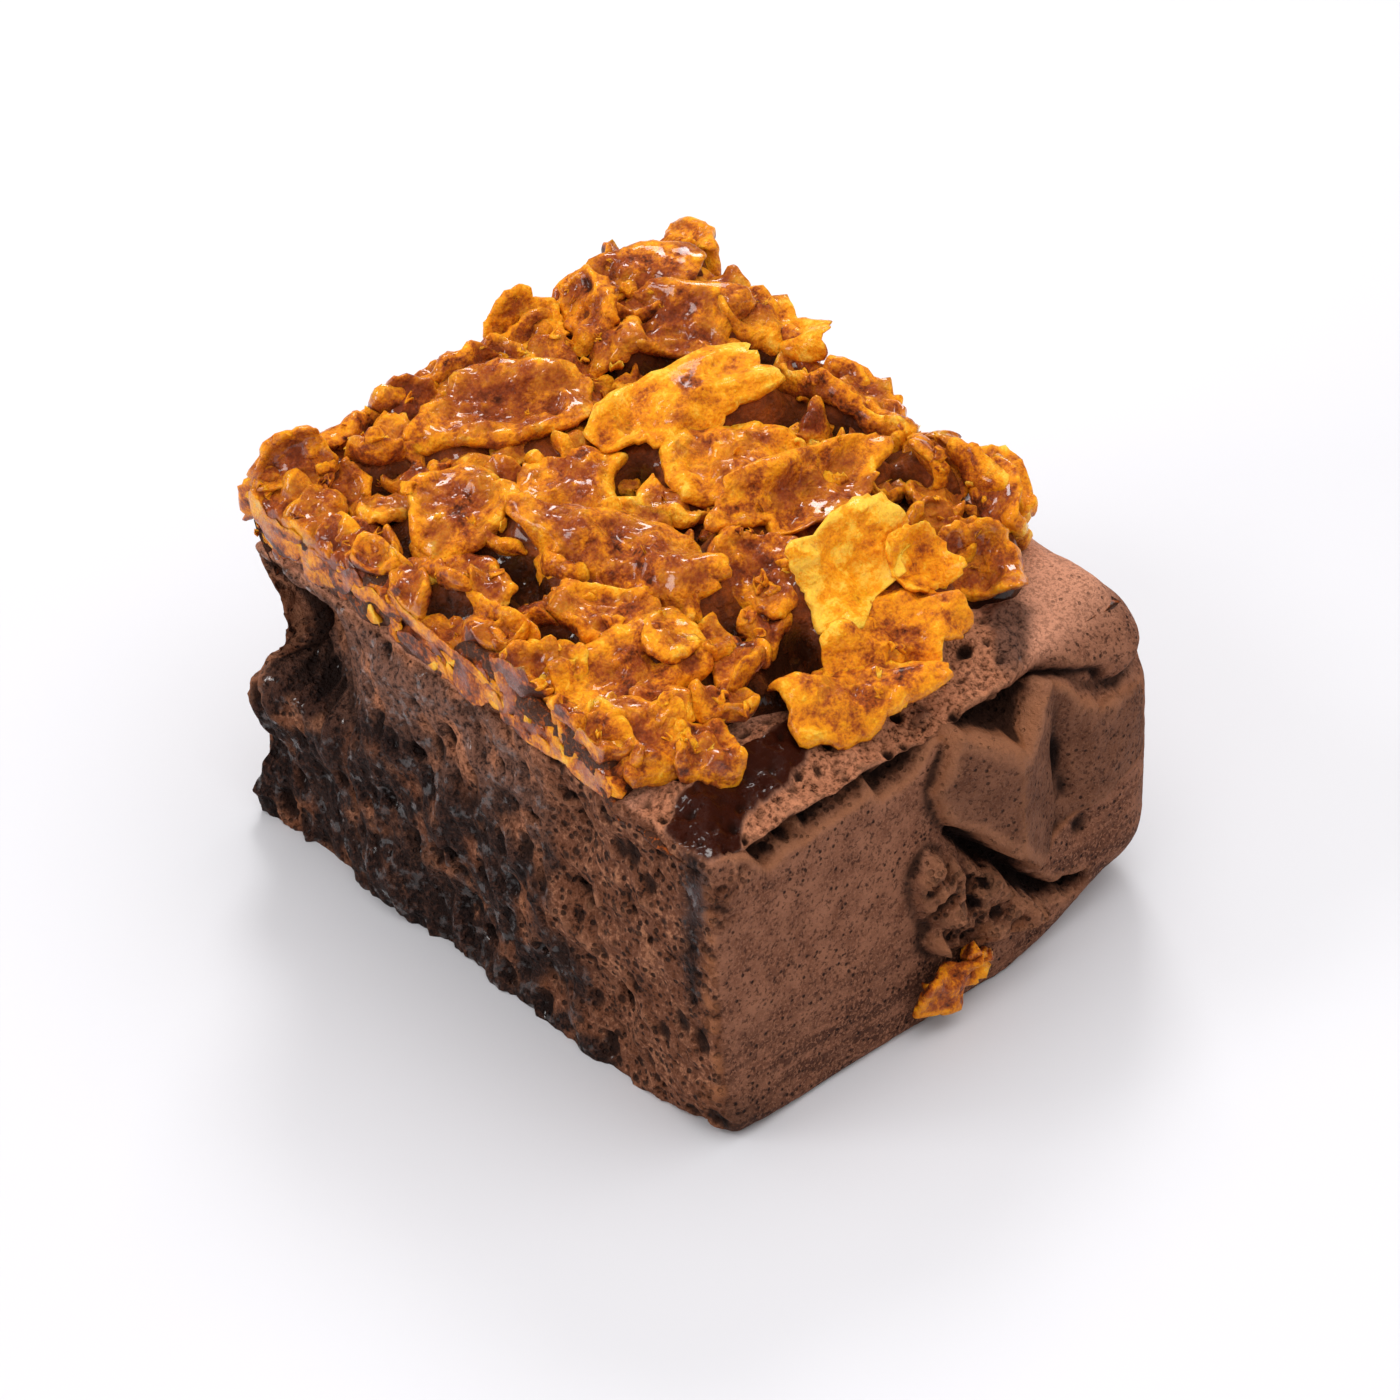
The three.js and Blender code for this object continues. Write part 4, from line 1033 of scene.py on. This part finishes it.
def crumbAt(place, size, seed, tone):
    # A broken bit of flake: a short lumpy plate turned at random
    heading = 2 * math.pi * cell(seed, 1, 1, 5)
    tilt = 0.8 * (cell(seed, 1, 2, 5) - 0.5)
    tip = np.array([math.cos(heading), math.sin(heading), tilt]) * size / 2
    width = size * (0.55 + 0.4 * cell(seed, 1, 3, 5))
    roll = 150 * (cell(seed, 1, 4, 5) - 0.5)
    return flakePlate(place - tip, place + tip, width, roll, bits["curl"], seed, tone, bits["glaze"],
                      bits["sides"], bits["rings"], size * bits["plate"], bits["fine"])


def makeBits(flakePoints, glaze, finish):
    draw = np.random.default_rng(bits["seed"])
    flakePoints = flakePoints[glaze > 0.5]
    chosen = flakePoints[draw.choice(len(flakePoints), bits["count"], replace=False)]
    ends = zip(bits["cutLow"], bits["cutHigh"])
    onCut = np.stack([draw.uniform(low, high, bits["onCut"]) for low, high in ends], 1)
    onCut[:, 2] += 1.5 * blend(-20, 25, onCut[:, 1])
    places = np.concatenate([chosen, onCut])
    sizes = bits["smallest"] + (bits["largest"] - bits["smallest"]) * draw.random(len(places)) ** 3
    sizes[len(chosen):] *= bits["larger"]
    tones = draw.uniform(bits["darkest"], bits["palest"], len(places))
    made = [crumbAt(p, s, bits["seed"] + n, t) for n, (p, s, t) in enumerate(zip(places, sizes, tones))]
    points, rings, marks = joined(made)
    makePiece("cornflake_bits", insideHeap(points), rings, finish,
              ["cornflake_topping"], marks)


caramel = {
    "step": 0.35, "ball": 1.5, "below": 1.7, "wander": 0.6, "foot": 1.5, "smooth": 6, "wallRows": 16,
    "setIn": 0.7, "tuck": 1.6, "right": 28.3, "near": -30, "belowCore": 1.5,
}


def rolled(field, radius, step, grow):
    # The surface that a ball rolled over a height field leaves, from above or from below
    reach = int(radius / step)
    sign = 1 if grow else -1
    best = np.full(field.shape, -1e9)
    padded = np.pad(field * sign, reach, mode="edge")
    for i in range(-reach, reach + 1):
        for j in range(-reach, reach + 1):
            rise = radius**2 - (i * i + j * j) * step**2
            if rise >= 0:
                moved = padded[reach + i:reach + i + field.shape[0], reach + j:reach + j + field.shape[1]]
                best = np.maximum(best, moved + math.sqrt(rise))
    return best * sign


def makeCaramel(flakePoints):
    step = caramel["step"]
    xs = np.arange(heap["cutFace"] + caramel["setIn"], caramel["right"], step)
    ys = np.arange(caramel["near"], heap["back"] - caramel["setIn"], step)
    x, y = np.meshgrid(xs, ys, indexing="ij")
    low = cake["rim"] - caramel["foot"]
    field = np.full(x.shape, low)
    i = np.clip(((flakePoints[:, 0] - xs[0]) / step).round().astype(int), 0, len(xs) - 1)
    j = np.clip(((flakePoints[:, 1] - ys[0]) / step).round().astype(int), 0, len(ys) - 1)
    np.maximum.at(field, (i, j), flakePoints[:, 2])
    field = np.maximum(field, coreTop(x, y) - caramel["belowCore"])
    edge = np.minimum(y - nearEdge(x), rightEdge(y) - x) + 0.8 * lumps(x, y, 1, 3, 412)
    inside = blend(-0.3, 1.6, edge)
    for grow in (True, False, False, True):  # fills what is narrower than the ball, then wears off ridges
        field = rolled(field, caramel["ball"], step, grow)
    field = softened(field, caramel["smooth"])
    level = field - caramel["below"] - caramel["wander"] * lumps(x, y, 0, 4.5, 411)
    level = low + (level - low) * inside
    thin = blend(-0.9, 0.9, 0.6 * lumps(x, y, 3, 3, 413) + (level - coreTop(x, y) - 0.2) / 1.2)
    ids = np.arange(x.size).reshape(x.shape)
    points = [np.stack([x, y, level], -1).reshape(-1, 3)]
    rings = [gridFacets(ids)]
    border = np.concatenate([ids[:, 0], ids[-1, 1:], ids[-2::-1, -1], ids[0, -2:0:-1]])
    bx, by, bz = points[0][border].T
    outX = np.where(border < len(ys), -1.0, 0)
    outY = np.where(border % len(ys) == len(ys) - 1, 1.0, 0)
    rows = caramel["wallRows"]
    above = border
    for row in range(1, rows + 1):
        down = row / rows
        z = bz + (low + 1.6 * lumps(bx, by, 1, 2.6, 416) - bz) * down
        bulge = 0.3 * math.sin(math.pi * min(1, row / 3) / 2) + 0.6 * grain(bx, by, z, 1.8, 414)
        tuck = caramel["tuck"] * blend(0.5, 1, down) + 2.2 * down**1.5 * blend(14, 30, by)
        points.append(np.stack([bx + outX * (bulge - tuck), by + outY * (bulge - tuck), z], 1))
        below = np.arange(len(border)) + sum(len(p) for p in points[:-1])
        rings.append(np.stack([below, np.roll(below, -1), np.roll(above, -1), above], 1))
        above = below
    rings.append(above[::-1][None, :])
    wall = 1 - blend(0, 1.2, x - xs[0] + 0.5 * lumps(x, y, 4, 1.5, 415))
    wall = np.maximum(wall, 0.7 * (1 - inside) * blend(18, 24, x))
    marks = {"thin": np.concatenate([thin.ravel(), np.full(rows * len(border), 0.5)]),
             "wall": np.concatenate([wall.ravel(), np.ones(rows * len(border))])}
    makePiece("caramel", np.concatenate(points), rings, caramelFinish(),
              ["cornflake_topping"], marks)


makeCaramel(makeFlakes())


# A flake that has stuck to the foot of the near crust

stuck = {
    "flake": {
        "start": (-6, -37.2, 4.8), "end": (5, -37.2, 4.3), "width": 4.6, "roll": 78, "curl": 0.5, "seed": 7,
        "tone": 0.36, "glaze": 0.4, "sides": 56, "rings": 14, "plate": 1.2, "fine": 0.8},
    "crumbs": [((2.2, -36.6, 6.6), 2.2), ((-3.2, -36.8, 5.6), 1.8), ((4.4, -36.8, 5.0), 1.6)],
    "crumbTone": 0.44,
}


def makeStuckFlake():
    parts = [flakePlate(**stuck["flake"])]
    for n, (place, size) in enumerate(stuck["crumbs"]):
        parts.append(crumbAt(np.array(place), size, stuck["flake"]["seed"] + n, stuck["crumbTone"]))
    points, rings, marks = joined(parts)
    makePiece("cornflake_stuck", points, rings, flakeFinish(), ["stuck_flake"], marks)


makeStuckFlake()
